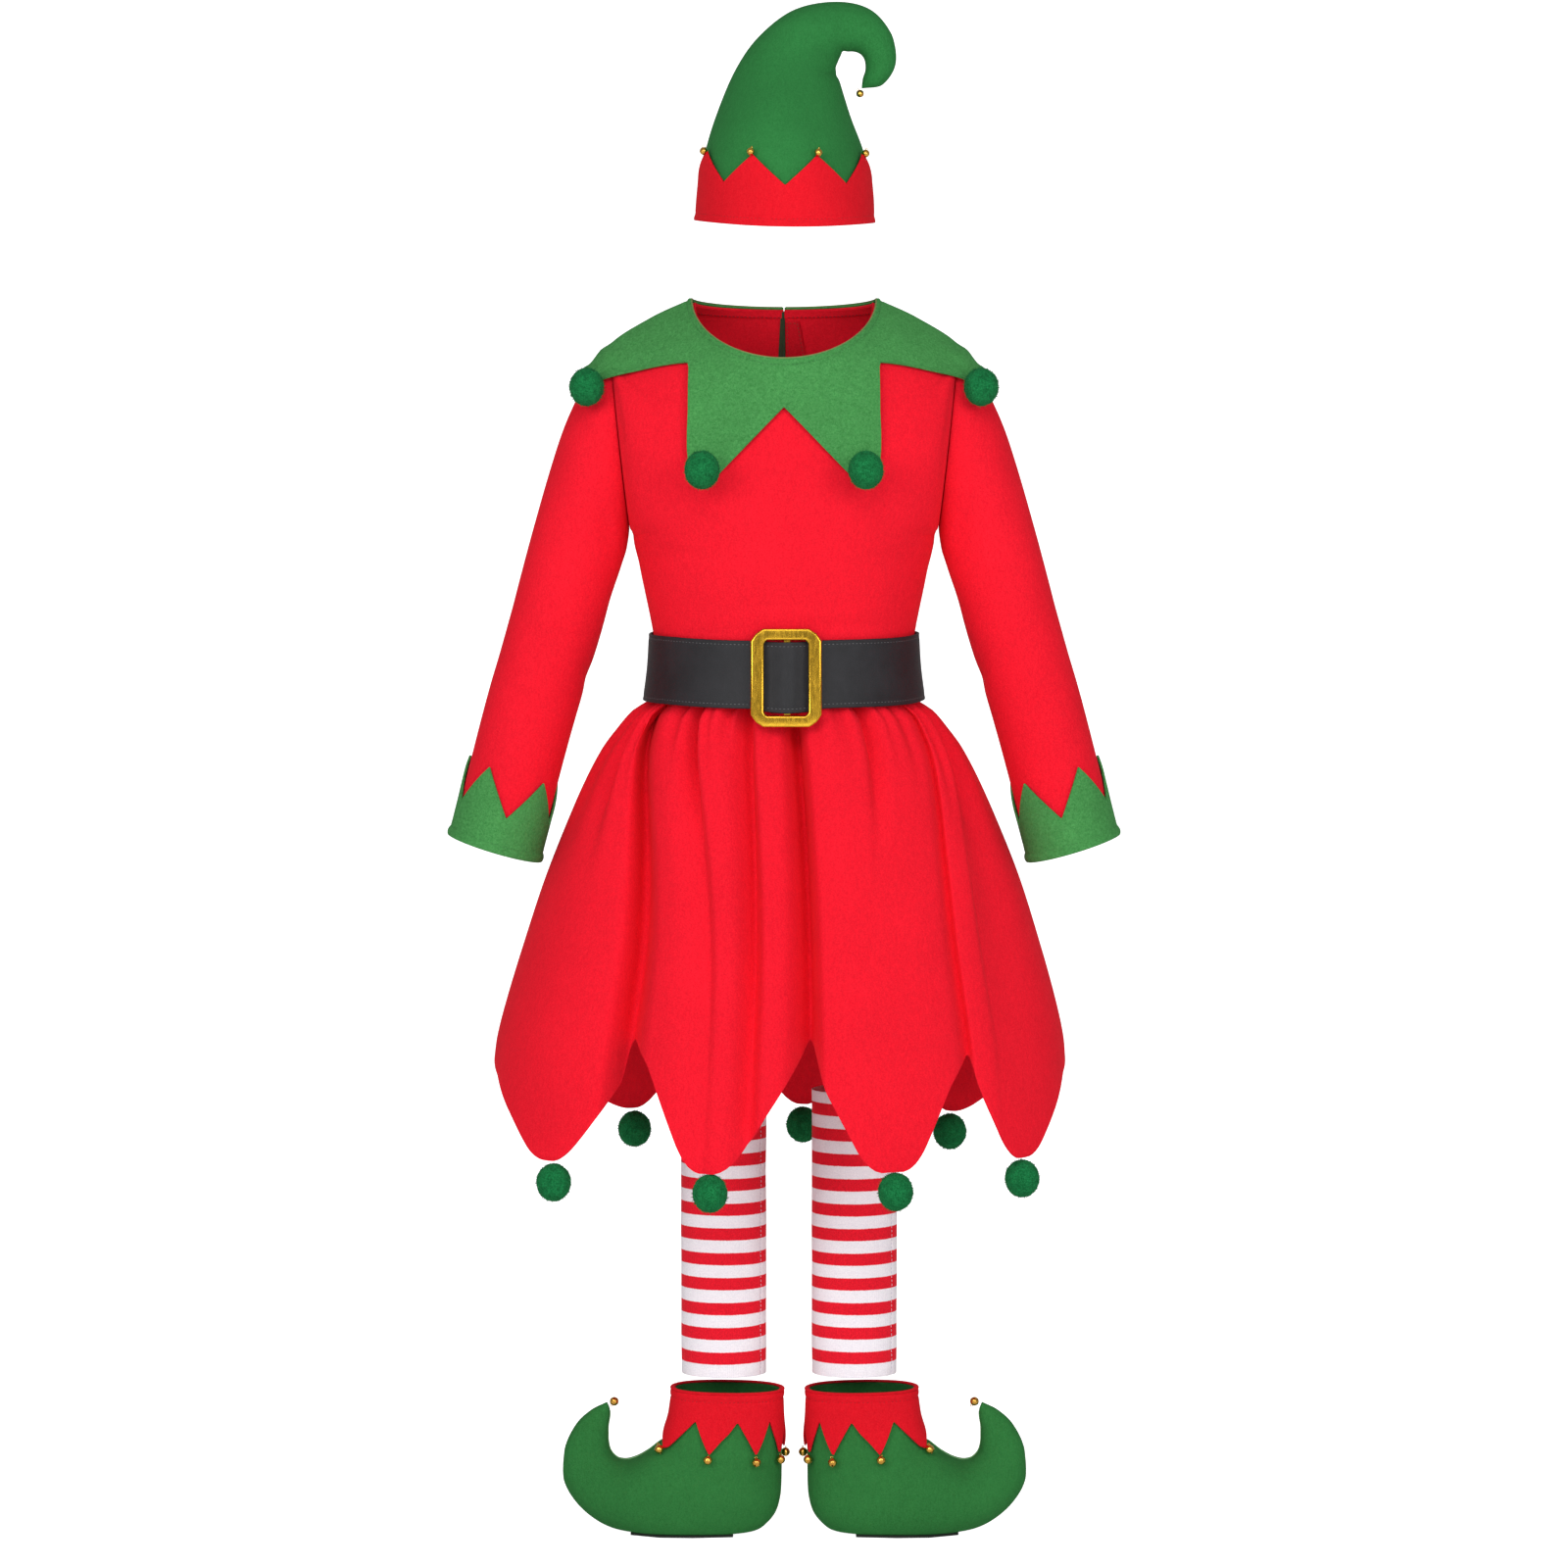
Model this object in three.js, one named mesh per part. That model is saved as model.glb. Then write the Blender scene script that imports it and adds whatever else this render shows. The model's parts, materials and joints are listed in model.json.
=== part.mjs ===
import * as THREE from 'three';

// Child's elf costume, held in the shape of its wearer: belted tunic dress with a pointed collar and a
// seven-point skirt, curled felt hat, striped stockings and curled-toe shoe covers.
// Millimetres, +Z up, the front faces -Y. Heights in the tables are above the floor under the soles.
// The finished group is let down so that its origin is the middle of the neck opening.

const NECK_HEIGHT = 1013;        // neck points of the dress above the floor
const SEAM_GAP = 0.3;            // between two pieces sewn edge to edge
const LYING_GAP = 0.8;           // under a piece that lies on another
const KNIT_WALL = 1.6;           // dress cloth
const FELT_WALL = 2.0;           // collar, cuffs, hat band
const LEATHER_WALL = 2.2;        // belt strap
const STOCKING_WALL = 1.35;

const COLOURS = {
  red: 0xd81224, redFelt: 0xd01020, green: 0x3f8f4a, darkGreen: 0x2c7a3e, shoeGreen: 0x347a42,
  pompom: 0x167a41, black: 0x26262a, gold: 0xe0b440, white: 0xf3ecf6, sole: 0x1f2a22, tape: 0x1d3a26,
};

// Bodice rows from waist to neck. side: the end on the side seam, armhole or shoulder; middle: on the
// centre line, at the front and at the back. armhole rows take their side point from the armhole oval.
const ARMHOLE = { bottomX: 125, bottomZ: 829, topX: 140.5, topZ: 975, halfDepth: 37 };
const BODICE_ROWS = table('sideX sideZ armholeTurn frontY frontZ backY backZ', [
  [103.6, 713.0, null, -81.0, 713, 78, 713],
  [106.0, 741.0, null, -83.4, 741, 80, 741],
  [113.8, 781.0, null, -89.0, 777, 84, 783],
  [124.0, 827.5, null, -93.0, 812, 87, 828],
  [0, 0, 45, -93.5, 839, 88, 860],
  [0, 0, 90, -91.5, 868, 87, 892],
  [0, 0, 135, -87.0, 897, 83, 924],
  [140.1, 974.6, null, -81.0, 924, 75, 954],
  [107.0, 997.0, null, -75.5, 948, 64, 982],
  [72.0, 1013.0, null, -70.0, 969, 52, 1006],
]);
const BODICE_COLUMNS = 24;

// Sleeve rings from armhole to hem: the outer and the inner edge seen from the front, and the half depth.
const SLEEVE_RINGS = table('outX outZ inX inZ halfDepth', [
  [141.1, 975.0, 125.6, 828.6, 37.0],
  [153.0, 962.0, 126.4, 822.0, 38.5],
  [167.5, 936.5, 127.2, 817.0, 39.5],
  [184.0, 897.0, 128.4, 811.0, 40.0],
  [204.0, 829.0, 131.0, 803.0, 40.0],
  [225.8, 748.5, 154.6, 725.5, 38.5],
  [244.4, 684.0, 174.0, 661.0, 37.5],
  [271.2, 579.5, 201.6, 558.0, 37.5],
]);
const SLEEVE_COLUMNS = 24;
const CUFF = { columns: 30, points: 5, firstPoint: -12, valley: 29, tip: 63, sleeveShort: 1.5 };

// Hat rings from the head opening, over the bend and down to the tip: left and right edge, half depth.
const HAT_RINGS = table('leftX leftZ rightX rightZ halfDepth', [
  [-69.6, 1079.0, 70.6, 1077.0, 88.0],
  [-67.6, 1103.0, 69.4, 1102.0, 86.5],
  [-63.9, 1133.0, 65.0, 1132.0, 82.0],
  [-54.0, 1166.0, 54.0, 1162.0, 67.0],
  [-39.0, 1200.5, 45.5, 1189.0, 46.0],
  [-20.0, 1227.0, 42.5, 1200.0, 34.0],
  [8.0, 1248.0, 46.5, 1212.0, 26.0],
  [42.0, 1254.5, 53.5, 1214.5, 20.5],
  [70.0, 1248.0, 60.6, 1213.0, 17.5],
  [87.5, 1227.0, 64.8, 1208.0, 14.5],
  [90.0, 1204.0, 65.6, 1200.0, 12.0],
  [79.0, 1187.5, 63.5, 1193.0, 8.0],
]);
const HAT_TIP = { x: 63.0, z: 1185.0 };
const HAT_COLUMNS = 32;
const HAT_RIM_DIP = 3.5;         // the rim's front hangs lower than its sides
const HAT_BAND = { points: 8, firstPoint: 22.5, tip: 57, valley: 33, bellRadius: 3.2 };

// Skirt: half width and half depth by height, and the hem, turning from the front middle to +X.
const SKIRT_SEAM_Z = 712.4;
const SKIRT_FLARE = table('z halfWidth halfDepth', [
  [720.0, 103.0, 80.0],
  [691.0, 108.8, 86.0],
  [681.0, 122.5, 88.9],
  [665.0, 135.0, 94.5],
  [649.0, 146.0, 101.0],
  [625.0, 158.5, 111.0],
  [593.0, 172.3, 123.0],
  [545.0, 190.8, 137.5],
  [496.0, 206.6, 150.0],
  [448.0, 220.8, 161.0],
  [415.0, 228.8, 167.0],
  [391.0, 231.5, 171.0],
  [324.0, 240.0, 180.0],
]);
const SKIRT_SWAY = -7;         // the hem hangs this far towards -X
const HEM_TIP_Z = 328.5;
// The hem's outline: four points in the front panel, three in the back; 1 marks a pompom.
const HEM_OUTLINE = table('turn z pompom', [
  [-97.0, 405, 0],
  [-77.0, 387, 0],
  [-63.0, 358, 0],
  [-53.0, 331, 0],
  [-48.0, HEM_TIP_Z, 1],
  [-44.3, 331, 0],
  [-37.0, 366, 0],
  [-31.6, 393, 0],
  [-30.6, 429, 0],
  [-26.6, 411, 0],
  [-17.0, 327, 0],
  [-12.5, HEM_TIP_Z, 1],
  [-9.2, 327, 0],
  [-1.0, 380, 0],
  [5.0, 419, 0],
  [6.4, 432, 0],
  [9.0, 394, 0],
  [18.2, 327, 0],
  [23.5, HEM_TIP_Z, 1],
  [27.4, 327, 0],
  [36.0, 391, 0],
  [41.0, 417, 0],
  [44.0, 385, 0],
  [51.2, 331, 0],
  [56.0, HEM_TIP_Z, 1],
  [60.2, 331, 0],
  [67.0, 352, 0],
  [80.0, 388, 0],
  [97.0, 405, 0],
  [112.0, 394, 0],
  [138.4, 331, 0],
  [142.0, HEM_TIP_Z, 1],
  [145.6, 331, 0],
  [158.0, 428, 0],
  [170.9, 331, 0],
  [174.5, HEM_TIP_Z, 1],
  [178.1, 331, 0],
  [192.0, 430, 0],
  [206.4, 331, 0],
  [210.0, HEM_TIP_Z, 1],
  [213.6, 331, 0],
  [240.0, 388, 0],
  [263.0, 405, 0],
]);
// Folds down the skirt: the turn of each at the hem and at the waist, how far it goes in, and the half
// width of its groove at the waist and at the hem. The side seams only lead the cloth.
const FOLD_LINES = table('hemTurn waistTurn depth halfTop halfBottom', [
  [-97.0, -97.0, 0, 6, 9],
  [-54.7, -80.0, 0, 6, 9],
  [-30.6, -64.0, 29, 6, 9],
  [-14.6, -46.2, 0, 6, 9],
  [-5.6, -16.8, 7, 6, 9],
  [6.4, 3.8, 28, 5, 9],
  [21.7, 38.5, 0, 6, 9],
  [41.0, 63.0, 7, 6, 9],
  [50.0, 80.0, 0, 6, 9],
  [97.0, 97.0, 0, 6, 9],
  [158.0, 138.0, 24, 6, 9],
  [192.0, 201.0, 24, 6, 9],
  [263.0, 263.0, 0, 6, 9],
]);
const FOLD_SHARES = table('spread share', [
  [4.0, 0.35],                   // the soft dip around a groove
  [1.0, 0.65],
]);
const FOLD_LEAN = 3.5;           // how early a line reaches its place at the hem
const GATHERS = 32;
const SKIRT_ROW_SHARES = [0, 0.055, 0.1, 0.2, 0.38, 0.66, 1];
const SKIRT_COLUMN_TURN = 3.7;

// Pompoms: sunk tufts of yarn, a little taller than wide.
const POMPOM = { radius: 14.6, stretch: 1.1, hangBelowTip: 0.4 };

// Collar outline for the +X half: turn round the neck, from the front middle to the back middle.
const COLLAR_OUTLINE = table('turn x y z', [
  [0, 0, -88, 933],
  [24, 40, -93, 890],
  [31, 52, -94, 877],
  [37, 64, -94, 870],
  [43, 74, -93, 873],
  [47, 78.5, -92, 886],
  [52, 79, -84, 930],
  [58, 79, -62, 975],
  [66, 96, -54, 971],
  [73, 119, -42, 960],
  [80, 143, -27, 946],
  [84, 154, -20, 943],
  [88, 159, -8, 949],
  [93, 157, 6, 955],
  [100, 146, 20, 956],
  [107, 119, 42, 962],
  [114, 96, 50, 974],
  [121, 79, 54, 980],
  [128, 79, 76, 940],
  [133, 78.5, 84, 897],
  [137, 74, 85, 883],
  [143, 64, 86, 880],
  [149, 52, 87, 887],
  [156, 40, 87, 900],
  [180, 0, 78, 945],
]);
const COLLAR_ROW_SHARES = [0, 0.34, 0.68, 1];
const COLLAR_COLUMN_TURN = 4.5;
const COLLAR_PASSES = 5;
const COLLAR_LIFT = 2.3;         // from the cloth it lies on to the collar's underside
const COLLAR_POMPOMS = table('x y z', [
  [65.0, -114.2, 882.5],
  [158.6, -43.8, 946],
  [64.0, 107.0, 891],
]);

// Belt strap, slightly conical, and its buckle.
const BELT_ROWS = table('z halfWidth halfDepth', [
  [690.5, 115.2, 92.2],
  [717.0, 111.8, 88.8],
  [744.8, 110.1, 87.2],
]);
const BELT_COLUMNS = { front: 8, frontHalfTurn: 14, rest: 44 };
const BELT_BULGE = { x: 2.5, depth: 4.4, halfWidth: 10 };
const BELT_DIP = { halfWidth: 23, lower: 3.4, upper: 1.0 };   // how far it hangs inside the buckle
const BUCKLE = {
  x: 1.7, z: 715.2, width: 57, height: 79, corner: 10, window: { width: 35, height: 61, corner: 2 },
  thickness: 2.6, bevel: 1.0, backY: -93.2, lean: 5.5 * Math.PI / 180,
};
const BUCKLE_BAR = { x: 2.5, z: 715.8, y: -88.8, width: 5, thickness: 2.0, height: 60.8 };

// Closure tape inside the back opening.
const TAPE = { width: 13, wall: 1.2, fromCentre: 1.0, rows: 5 };

// Stockings: straight tubes from under the skirt to just over the shoes.
const STOCKINGS = table('x radius', [
  [-49.6, 35.0],
  [57.8, 35.0],
]);
const STOCKING_TOP = 370;
const STOCKING_BOTTOM = 134;
const STOCKING_FLATTENING = 27 / 35;     // half depth to half width
const STOCKING_SEGMENTS = 24;

// Shoe cover rings from ankle opening, round the heel and instep, to the curled toe.
// u runs from the ankle's middle towards the toe.
const SHOE_RINGS = table('toeU toeZ heelU heelZ halfDepth', [
  [43.6, 120.5, -43.6, 119.5, 26.0],
  [47.0, 97.0, -44.4, 92.0, 29.0],
  [51.5, 80.0, -44.6, 58.0, 32.0],
  [54.5, 77.0, -43.4, 30.0, 33.0],
  [56.0, 76.0, -35.0, 10.5, 34.0],
  [57.8, 74.6, -11.0, -5.0, 35.5],
  [61.0, 72.0, 24.0, -7.5, 36.5],
  [67.0, 67.5, 54.0, -5.5, 36.5],
  [75.0, 63.0, 80.0, 0.0, 34.0],
  [83.5, 60.8, 104.5, 8.5, 29.0],
  [91.0, 62.6, 124.3, 24.5, 23.5],
  [96.6, 68.8, 135.6, 45.0, 18.0],
  [98.6, 78.0, 134.6, 69.6, 13.5],
  [98.6, 88.0, 125.4, 89.6, 9.5],
  [97.2, 97.4, 113.0, 101.8, 5.8],
  [97.0, 103.0, 99.5, 108.8, 2.6],
]);
const SHOES = table('ankleX toeSide', [
  [-46.6, -1],
  [64.0, 1],
]);
const SHOE_HALF_COLUMNS = 9;
const SHOE_SQUARENESS = 2.3;
const SOLE = { thickness: 2.0, inset: 1.5 };
const SHOE_CUFF = { wall: 1.8, bellRadius: 3.8, tip: 49.5 };
// The cuff's lower edge, round from the toe by the front: how far it hangs down the shoe.
const SHOE_CUFF_EDGE = table('turn drop', [
  [-18, 22],
  [30, SHOE_CUFF.tip],
  [62, 22],
  [80, SHOE_CUFF.tip],
  [99, 22],
  [118, SHOE_CUFF.tip],
  [136, 22],
  [152, SHOE_CUFF.tip],
  [174, 22],
  [195, SHOE_CUFF.tip],
  [220, 22],
  [245, SHOE_CUFF.tip],
  [275, 22],
  [300, SHOE_CUFF.tip],
  [342, 22],
]);
const VISIBLE_SHOE_BELLS = 5;    // the bells that a view from the front and sides shows

// table: rows of numbers under one line of column names.
function table(names, rows) {
  const keys = names.split(' ');
  return rows.map((row) => Object.fromEntries(keys.map((key, i) => [key, row[i]])));
}

function radians(degrees) {
  return degrees * Math.PI / 180;
}

function mix(a, b, share) {
  return a + (b - a) * share;
}

// valueAt: a table's column at x, in straight lines between rows; the x column may rise or fall.
function valueAt(rows, xKey, valueKey, x) {
  const rising = rows[rows.length - 1][xKey] > rows[0][xKey];
  let i = 0;
  while (i < rows.length - 2 && (rising ? x > rows[i + 1][xKey] : x < rows[i + 1][xKey])) i += 1;
  const share = (x - rows[i][xKey]) / (rows[i + 1][xKey] - rows[i][xKey]);
  return mix(rows[i][valueKey], rows[i + 1][valueKey], THREE.MathUtils.clamp(share, 0, 1));
}

// shell: a closed wall between two grids of points, rows of equally many columns.
// around: the columns run all the way round. tip: outer and inner point that close the last row.
function shell(outer, inner, { around = false, tip = null } = {}) {
  const rows = outer.length;
  const columns = outer[0].length;
  const points = [...outer.flat(), ...inner.flat()];
  const at = (layer, row, column) => layer * rows * columns + row * columns + (column % columns);
  const faces = [];
  const quad = (a, b, c, d) => faces.push(a, b, c, a, c, d);
  const spans = around ? columns : columns - 1;
  for (let row = 0; row < rows - 1; row += 1) {
    for (let c = 0; c < spans; c += 1) {
      quad(at(0, row, c), at(0, row, c + 1), at(0, row + 1, c + 1), at(0, row + 1, c));
      quad(at(1, row, c), at(1, row + 1, c), at(1, row + 1, c + 1), at(1, row, c + 1));
    }
    if (!around) {
      quad(at(0, row, 0), at(0, row + 1, 0), at(1, row + 1, 0), at(1, row, 0));
      quad(at(0, row + 1, spans), at(0, row, spans), at(1, row, spans), at(1, row + 1, spans));
    }
  }
  const last = rows - 1;
  if (tip) points.push(tip.outer, tip.inner);
  for (let c = 0; c < spans; c += 1) {
    quad(at(0, 0, c + 1), at(0, 0, c), at(1, 0, c), at(1, 0, c + 1));
    if (tip) {
      faces.push(at(0, last, c), at(0, last, c + 1), points.length - 2);
      faces.push(at(1, last, c + 1), at(1, last, c), points.length - 1);
    } else {
      quad(at(0, last, c), at(0, last, c + 1), at(1, last, c + 1), at(1, last, c));
    }
  }
  return solid(points, faces);
}

// solid: a geometry from points and triangles, turned inside out where its volume is negative.
function solid(points, faces) {
  let volume = 0;
  const product = new THREE.Vector3();
  for (let i = 0; i < faces.length; i += 3) {
    product.crossVectors(points[faces[i + 1]], points[faces[i + 2]]);
    volume += points[faces[i]].dot(product);
  }
  const turned = volume < 0 ? faces.slice().reverse() : faces;
  const geometry = new THREE.BufferGeometry();
  geometry.setAttribute('position', new THREE.Float32BufferAttribute(points.flatMap((p) => p.toArray()), 3));
  geometry.setIndex(turned);
  geometry.computeVertexNormals();
  return geometry;
}

// outwardNormals: the normals of a grid of points, away from its own middle.
function outwardNormals(grid) {
  const rows = grid.length;
  const columns = grid[0].length;
  const middle = new THREE.Vector3();
  grid.flat().forEach((p) => middle.addScaledVector(p, 1 / (rows * columns)));
  const normals = grid.map((line, r) => line.map((point, c) => {
    const across = line[Math.min(c + 1, columns - 1)].clone().sub(line[Math.max(c - 1, 0)]);
    const along = grid[Math.min(r + 1, rows - 1)][c].clone().sub(grid[Math.max(r - 1, 0)][c]);
    return across.cross(along).normalize();
  }));
  let agreement = 0;
  normals.forEach((line, r) => line.forEach((n, c) => {
    agreement += n.dot(grid[r][c].clone().sub(middle));
  }));
  if (agreement < 0) normals.flat().forEach((n) => n.negate());
  return normals;
}

function moved(grid, normals, distance) {
  return grid.map((line, r) => line.map((p, c) => p.clone().addScaledVector(normals[r][c], distance)));
}

const costume = new THREE.Group();

function addPiece(name, geometry, colour, roughness = 0.9, metalness = 0) {
  const material = new THREE.MeshStandardMaterial({ color: colour, roughness, metalness });
  const mesh = new THREE.Mesh(geometry, material);
  mesh.name = name;
  costume.add(mesh);
  return mesh;
}

// A tube is a list of rings. Each ring is an oval between two edge points in an XZ plane.
function ring(edgeX, edgeZ, farX, farZ, halfDepth) {
  const middle = new THREE.Vector3((edgeX + farX) / 2, 0, (edgeZ + farZ) / 2);
  const across = new THREE.Vector3((edgeX - farX) / 2, 0, (edgeZ - farZ) / 2);
  return { middle, across, halfDepth };
}

// onTube: the point of a tube at a place along its rings and an angle, 0 at the edge point and 90 at
// the front, moved out in the ring's plane. squareness 2 is an ellipse.
function onTube(rings, place, angle, out = 0, squareness = 2) {
  const i = Math.min(Math.floor(place), rings.length - 2);
  const share = place - i;
  const middle = rings[i].middle.clone().lerp(rings[i + 1].middle, share);
  const across = rings[i].across.clone().lerp(rings[i + 1].across, share);
  const halfDepth = mix(rings[i].halfDepth, rings[i + 1].halfDepth, share);
  const halfWidth = across.length();
  const rounded = (value) => Math.sign(value) * Math.abs(value) ** (2 / squareness);
  const sideways = rounded(Math.cos(radians(angle))) * Math.max(halfWidth + out, halfWidth * 0.45);
  const forwards = rounded(Math.sin(radians(angle))) * Math.max(halfDepth + out, halfDepth * 0.45);
  return middle.addScaledVector(across.normalize(), sideways).setY(-forwards);
}

function turns(count, from = 0, to = 360) {
  return Array.from({ length: count }, (_, i) => from + (to - from) * i / count);
}

// zigzag: runs from tip at each point to valley half way between two points.
function zigzag(angle, points, firstPoint, tip, valley) {
  const period = 360 / points;
  const phase = (((angle - firstPoint) % period) + period) % period / period;
  return mix(tip, valley, 1 - Math.abs(2 * phase - 1));
}

// Bodice.
function armholePoint(turn) {
  const share = (1 - Math.cos(radians(turn))) / 2;
  return {
    x: mix(ARMHOLE.bottomX, ARMHOLE.topX, share),
    y: ARMHOLE.halfDepth * Math.sin(radians(turn)),
    z: mix(ARMHOLE.bottomZ, ARMHOLE.topZ, share),
  };
}

// onBodice: side -1 is the front, 1 the back; turn runs from -90 at one side to 90 at the other.
function onBodice(row, side, turn) {
  const atSide = row.armholeTurn === null;
  const edge = atSide ? { x: row.sideX, y: 0, z: row.sideZ } : armholePoint(row.armholeTurn);
  const middleY = side < 0 ? row.frontY : row.backY;
  const middleZ = side < 0 ? row.frontZ : row.backZ;
  const towards = Math.cos(radians(turn));
  return new THREE.Vector3(
    edge.x * Math.sin(radians(turn)),
    mix(side * edge.y, middleY, towards),
    mix(edge.z, middleZ, towards),
  );
}

function bodicePanel(side, from, to, columns) {
  const sideGapTurn = 0.5 * SEAM_GAP / 60 * 180 / Math.PI;
  const grid = BODICE_ROWS.map((row) => {
    const middleGapTurn = Math.asin(SEAM_GAP / edgeWidth(row)) * 180 / Math.PI;
    const start = from === 0 ? middleGapTurn : from + sideGapTurn;
    const end = to === 0 ? -middleGapTurn : to - sideGapTurn;
    return Array.from({ length: columns + 1 }, (_, i) => onBodice(row, side, mix(start, end, i / columns)));
  });
  return grid;
}

function edgeWidth(row) {
  return row.armholeTurn === null ? row.sideX : armholePoint(row.armholeTurn).x;
}

function bodiceWall(grid, wholeFront) {
  const normals = outwardNormals(grid);
  const outerEnds = wholeFront ? [0, grid[0].length - 1] : [grid[0][0].x < -50 ? 0 : grid[0].length - 1];
  const middleEnds = wholeFront ? [] : [outerEnds[0] === 0 ? grid[0].length - 1 : 0];
  normals.forEach((line, r) => {
    if (BODICE_ROWS[r].armholeTurn === null) outerEnds.forEach((c) => line[c].setY(0).normalize());
    middleEnds.forEach((c) => line[c].setX(0).normalize());
  });
  return shell(grid, moved(grid, normals, -KNIT_WALL));
}

const frontGrid = bodicePanel(-1, -90, 90, BODICE_COLUMNS);
const backGrids = {
  left: bodicePanel(1, -90, 0, BODICE_COLUMNS / 2),
  right: bodicePanel(1, 0, 90, BODICE_COLUMNS / 2),
};
addPiece('bodice_front', bodiceWall(frontGrid, true), COLOURS.red);
addPiece('bodice_back_left', bodiceWall(backGrids.left, false), COLOURS.red);
addPiece('bodice_back_right', bodiceWall(backGrids.right, false), COLOURS.red);

// The closure tape lies inside the +X back panel, from the neck down to the shoulder blades.
const tapeGrid = BODICE_ROWS.slice(-TAPE.rows).map((row) => [0, 0.5, 1].map((share) => {
  const x = TAPE.fromCentre + TAPE.width * share;
  return onBodice(row, 1, Math.asin(x / edgeWidth(row)) * 180 / Math.PI);
}));
const tapeNormals = tapeGrid.map((line) => line.map(() => new THREE.Vector3(0, 1, 0)));
outwardNormals(tapeGrid).forEach((line, r) => line.forEach((n, c) => {
  tapeNormals[r][c].copy(n).setX(0).normalize();
  if (tapeNormals[r][c].y < 0) tapeNormals[r][c].negate();
}));
addPiece('back_closure_tape', shell(
  moved(tapeGrid, tapeNormals, -KNIT_WALL - LYING_GAP),
  moved(tapeGrid, tapeNormals, -KNIT_WALL - LYING_GAP - TAPE.wall),
), COLOURS.tape);

// Sleeves and their cuffs.
for (const [name, side] of [['left', -1], ['right', 1]]) {
  const rings = SLEEVE_RINGS.map((r) => ring(side * r.outX, r.outZ, side * r.inX, r.inZ, r.halfDepth));
  const last = rings.length - 1;
  const lastLength = rings[last].middle.distanceTo(rings[last - 1].middle);
  const angles = turns(SLEEVE_COLUMNS);
  const places = rings.map((_, i) => (i === last ? last - CUFF.sleeveShort / lastLength : i));
  const grid = (out) => places.map((place) => angles.map((a) => onTube(rings, place, a, out)));
  addPiece(`sleeve_${name}`, shell(grid(0), grid(-KNIT_WALL), { around: true }), COLOURS.red);
  const cuffAngles = turns(CUFF.columns);
  const cuffGrid = (out) => [0, 0.5, 1].map((share) => cuffAngles.map((a) => {
    const rise = zigzag(a, CUFF.points, CUFF.firstPoint, CUFF.tip, CUFF.valley);
    return onTube(rings, last - share * rise / lastLength, a, out);
  }));
  addPiece(`cuff_${name}`, shell(
    cuffGrid(LYING_GAP + FELT_WALL),
    cuffGrid(LYING_GAP),
    { around: true },
  ), COLOURS.green);
}

// Collar: its points are cast outwards on the bodice and sleeve heads, then moved out.
function castRay(target) {
  const start = new THREE.Vector3(target.x * 0.75, 0, 905);
  return { start, direction: target.clone().sub(start).normalize() };
}

function clothDistance({ start, direction }) {
  const hits = new THREE.Raycaster(start, direction).intersectObjects(collarCarriers, false);
  return hits.length ? hits[hits.length - 1].distance : 0;
}

function castOnCloth(target) {
  const ray = castRay(target);
  return ray.start.addScaledVector(ray.direction, clothDistance(ray) || ray.start.distanceTo(target));
}

// clearOfCloth: pushes a grid's points out until the faces between them don't dip below the cloth.
function clearOfCloth(grid) {
  for (let pass = 0; pass < COLLAR_PASSES; pass += 1) {
    for (let r = 0; r < grid.length - 1; r += 1) {
      for (let c = 0; c < grid[0].length - 1; c += 1) {
        const corners = [grid[r][c], grid[r][c + 1], grid[r + 1][c + 1], grid[r + 1][c]];
        for (const [u, v] of [[0.5, 0], [0, 0.5], [0.5, 0.5], [1, 0.5], [0.5, 1]]) {
          const low = corners[0].clone().lerp(corners[1], u);
          const point = low.lerp(corners[3].clone().lerp(corners[2], u), v);
          const ray = castRay(point);
          const short = clothDistance(ray) - ray.start.distanceTo(point);
          if (short > 0) corners.forEach((corner) => corner.addScaledVector(ray.direction, short));
        }
      }
    }
  }
  return grid;
}

const collarCarriers = costume.children
  .filter((mesh) => mesh.name.startsWith('bodice') || mesh.name.startsWith('sleeve'))
  .map((mesh) => new THREE.Mesh(mesh.geometry, new THREE.MeshBasicMaterial({ side: THREE.DoubleSide })));
const neckRow = BODICE_ROWS[BODICE_ROWS.length - 1];
const belowNeckRow = BODICE_ROWS[BODICE_ROWS.length - 2];

function collarTarget(turn, share) {
  const half = Math.abs(turn);
  const side = half <= 90 ? -1 : 1;
  const bodiceTurn = half <= 90 ? half : 180 - half;
  const neck = onBodice(neckRow, side, bodiceTurn).lerp(onBodice(belowNeckRow, side, bodiceTurn), 0.06);
  const edge = new THREE.Vector3(...['x', 'y', 'z'].map((key) => valueAt(COLLAR_OUTLINE, 'turn', key, half)));
  const point = neck.lerp(edge, share);
  return point.setX(Math.sign(turn) * point.x);
}

const collarHalfTurns = COLLAR_OUTLINE.slice(0, -1).flatMap((row, i) => {
  const span = COLLAR_OUTLINE[i + 1].turn - row.turn;
  return turns(Math.max(1, Math.round(span / COLLAR_COLUMN_TURN)), row.turn, row.turn + span);
}).slice(1);
const collarTurns = [-179.6, ...collarHalfTurns.map((t) => -t).reverse(), 0, ...collarHalfTurns, 179.6];
const collarBase = clearOfCloth(COLLAR_ROW_SHARES.map((share) => (
  collarTurns.map((turn) => castOnCloth(collarTarget(turn, share))))));
const collarNormals = outwardNormals(collarBase);
collarNormals.forEach((line, r) => line.forEach((n, c) => {
  n.add(castRay(collarBase[r][c]).direction).normalize();
}));
collarNormals.forEach((line) => [line[0], line[line.length - 1]].forEach((n) => n.setX(0).normalize()));
addPiece('collar', shell(
  moved(collarBase, collarNormals, COLLAR_LIFT + FELT_WALL),
  moved(collarBase, collarNormals, COLLAR_LIFT),
), COLOURS.green);

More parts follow.
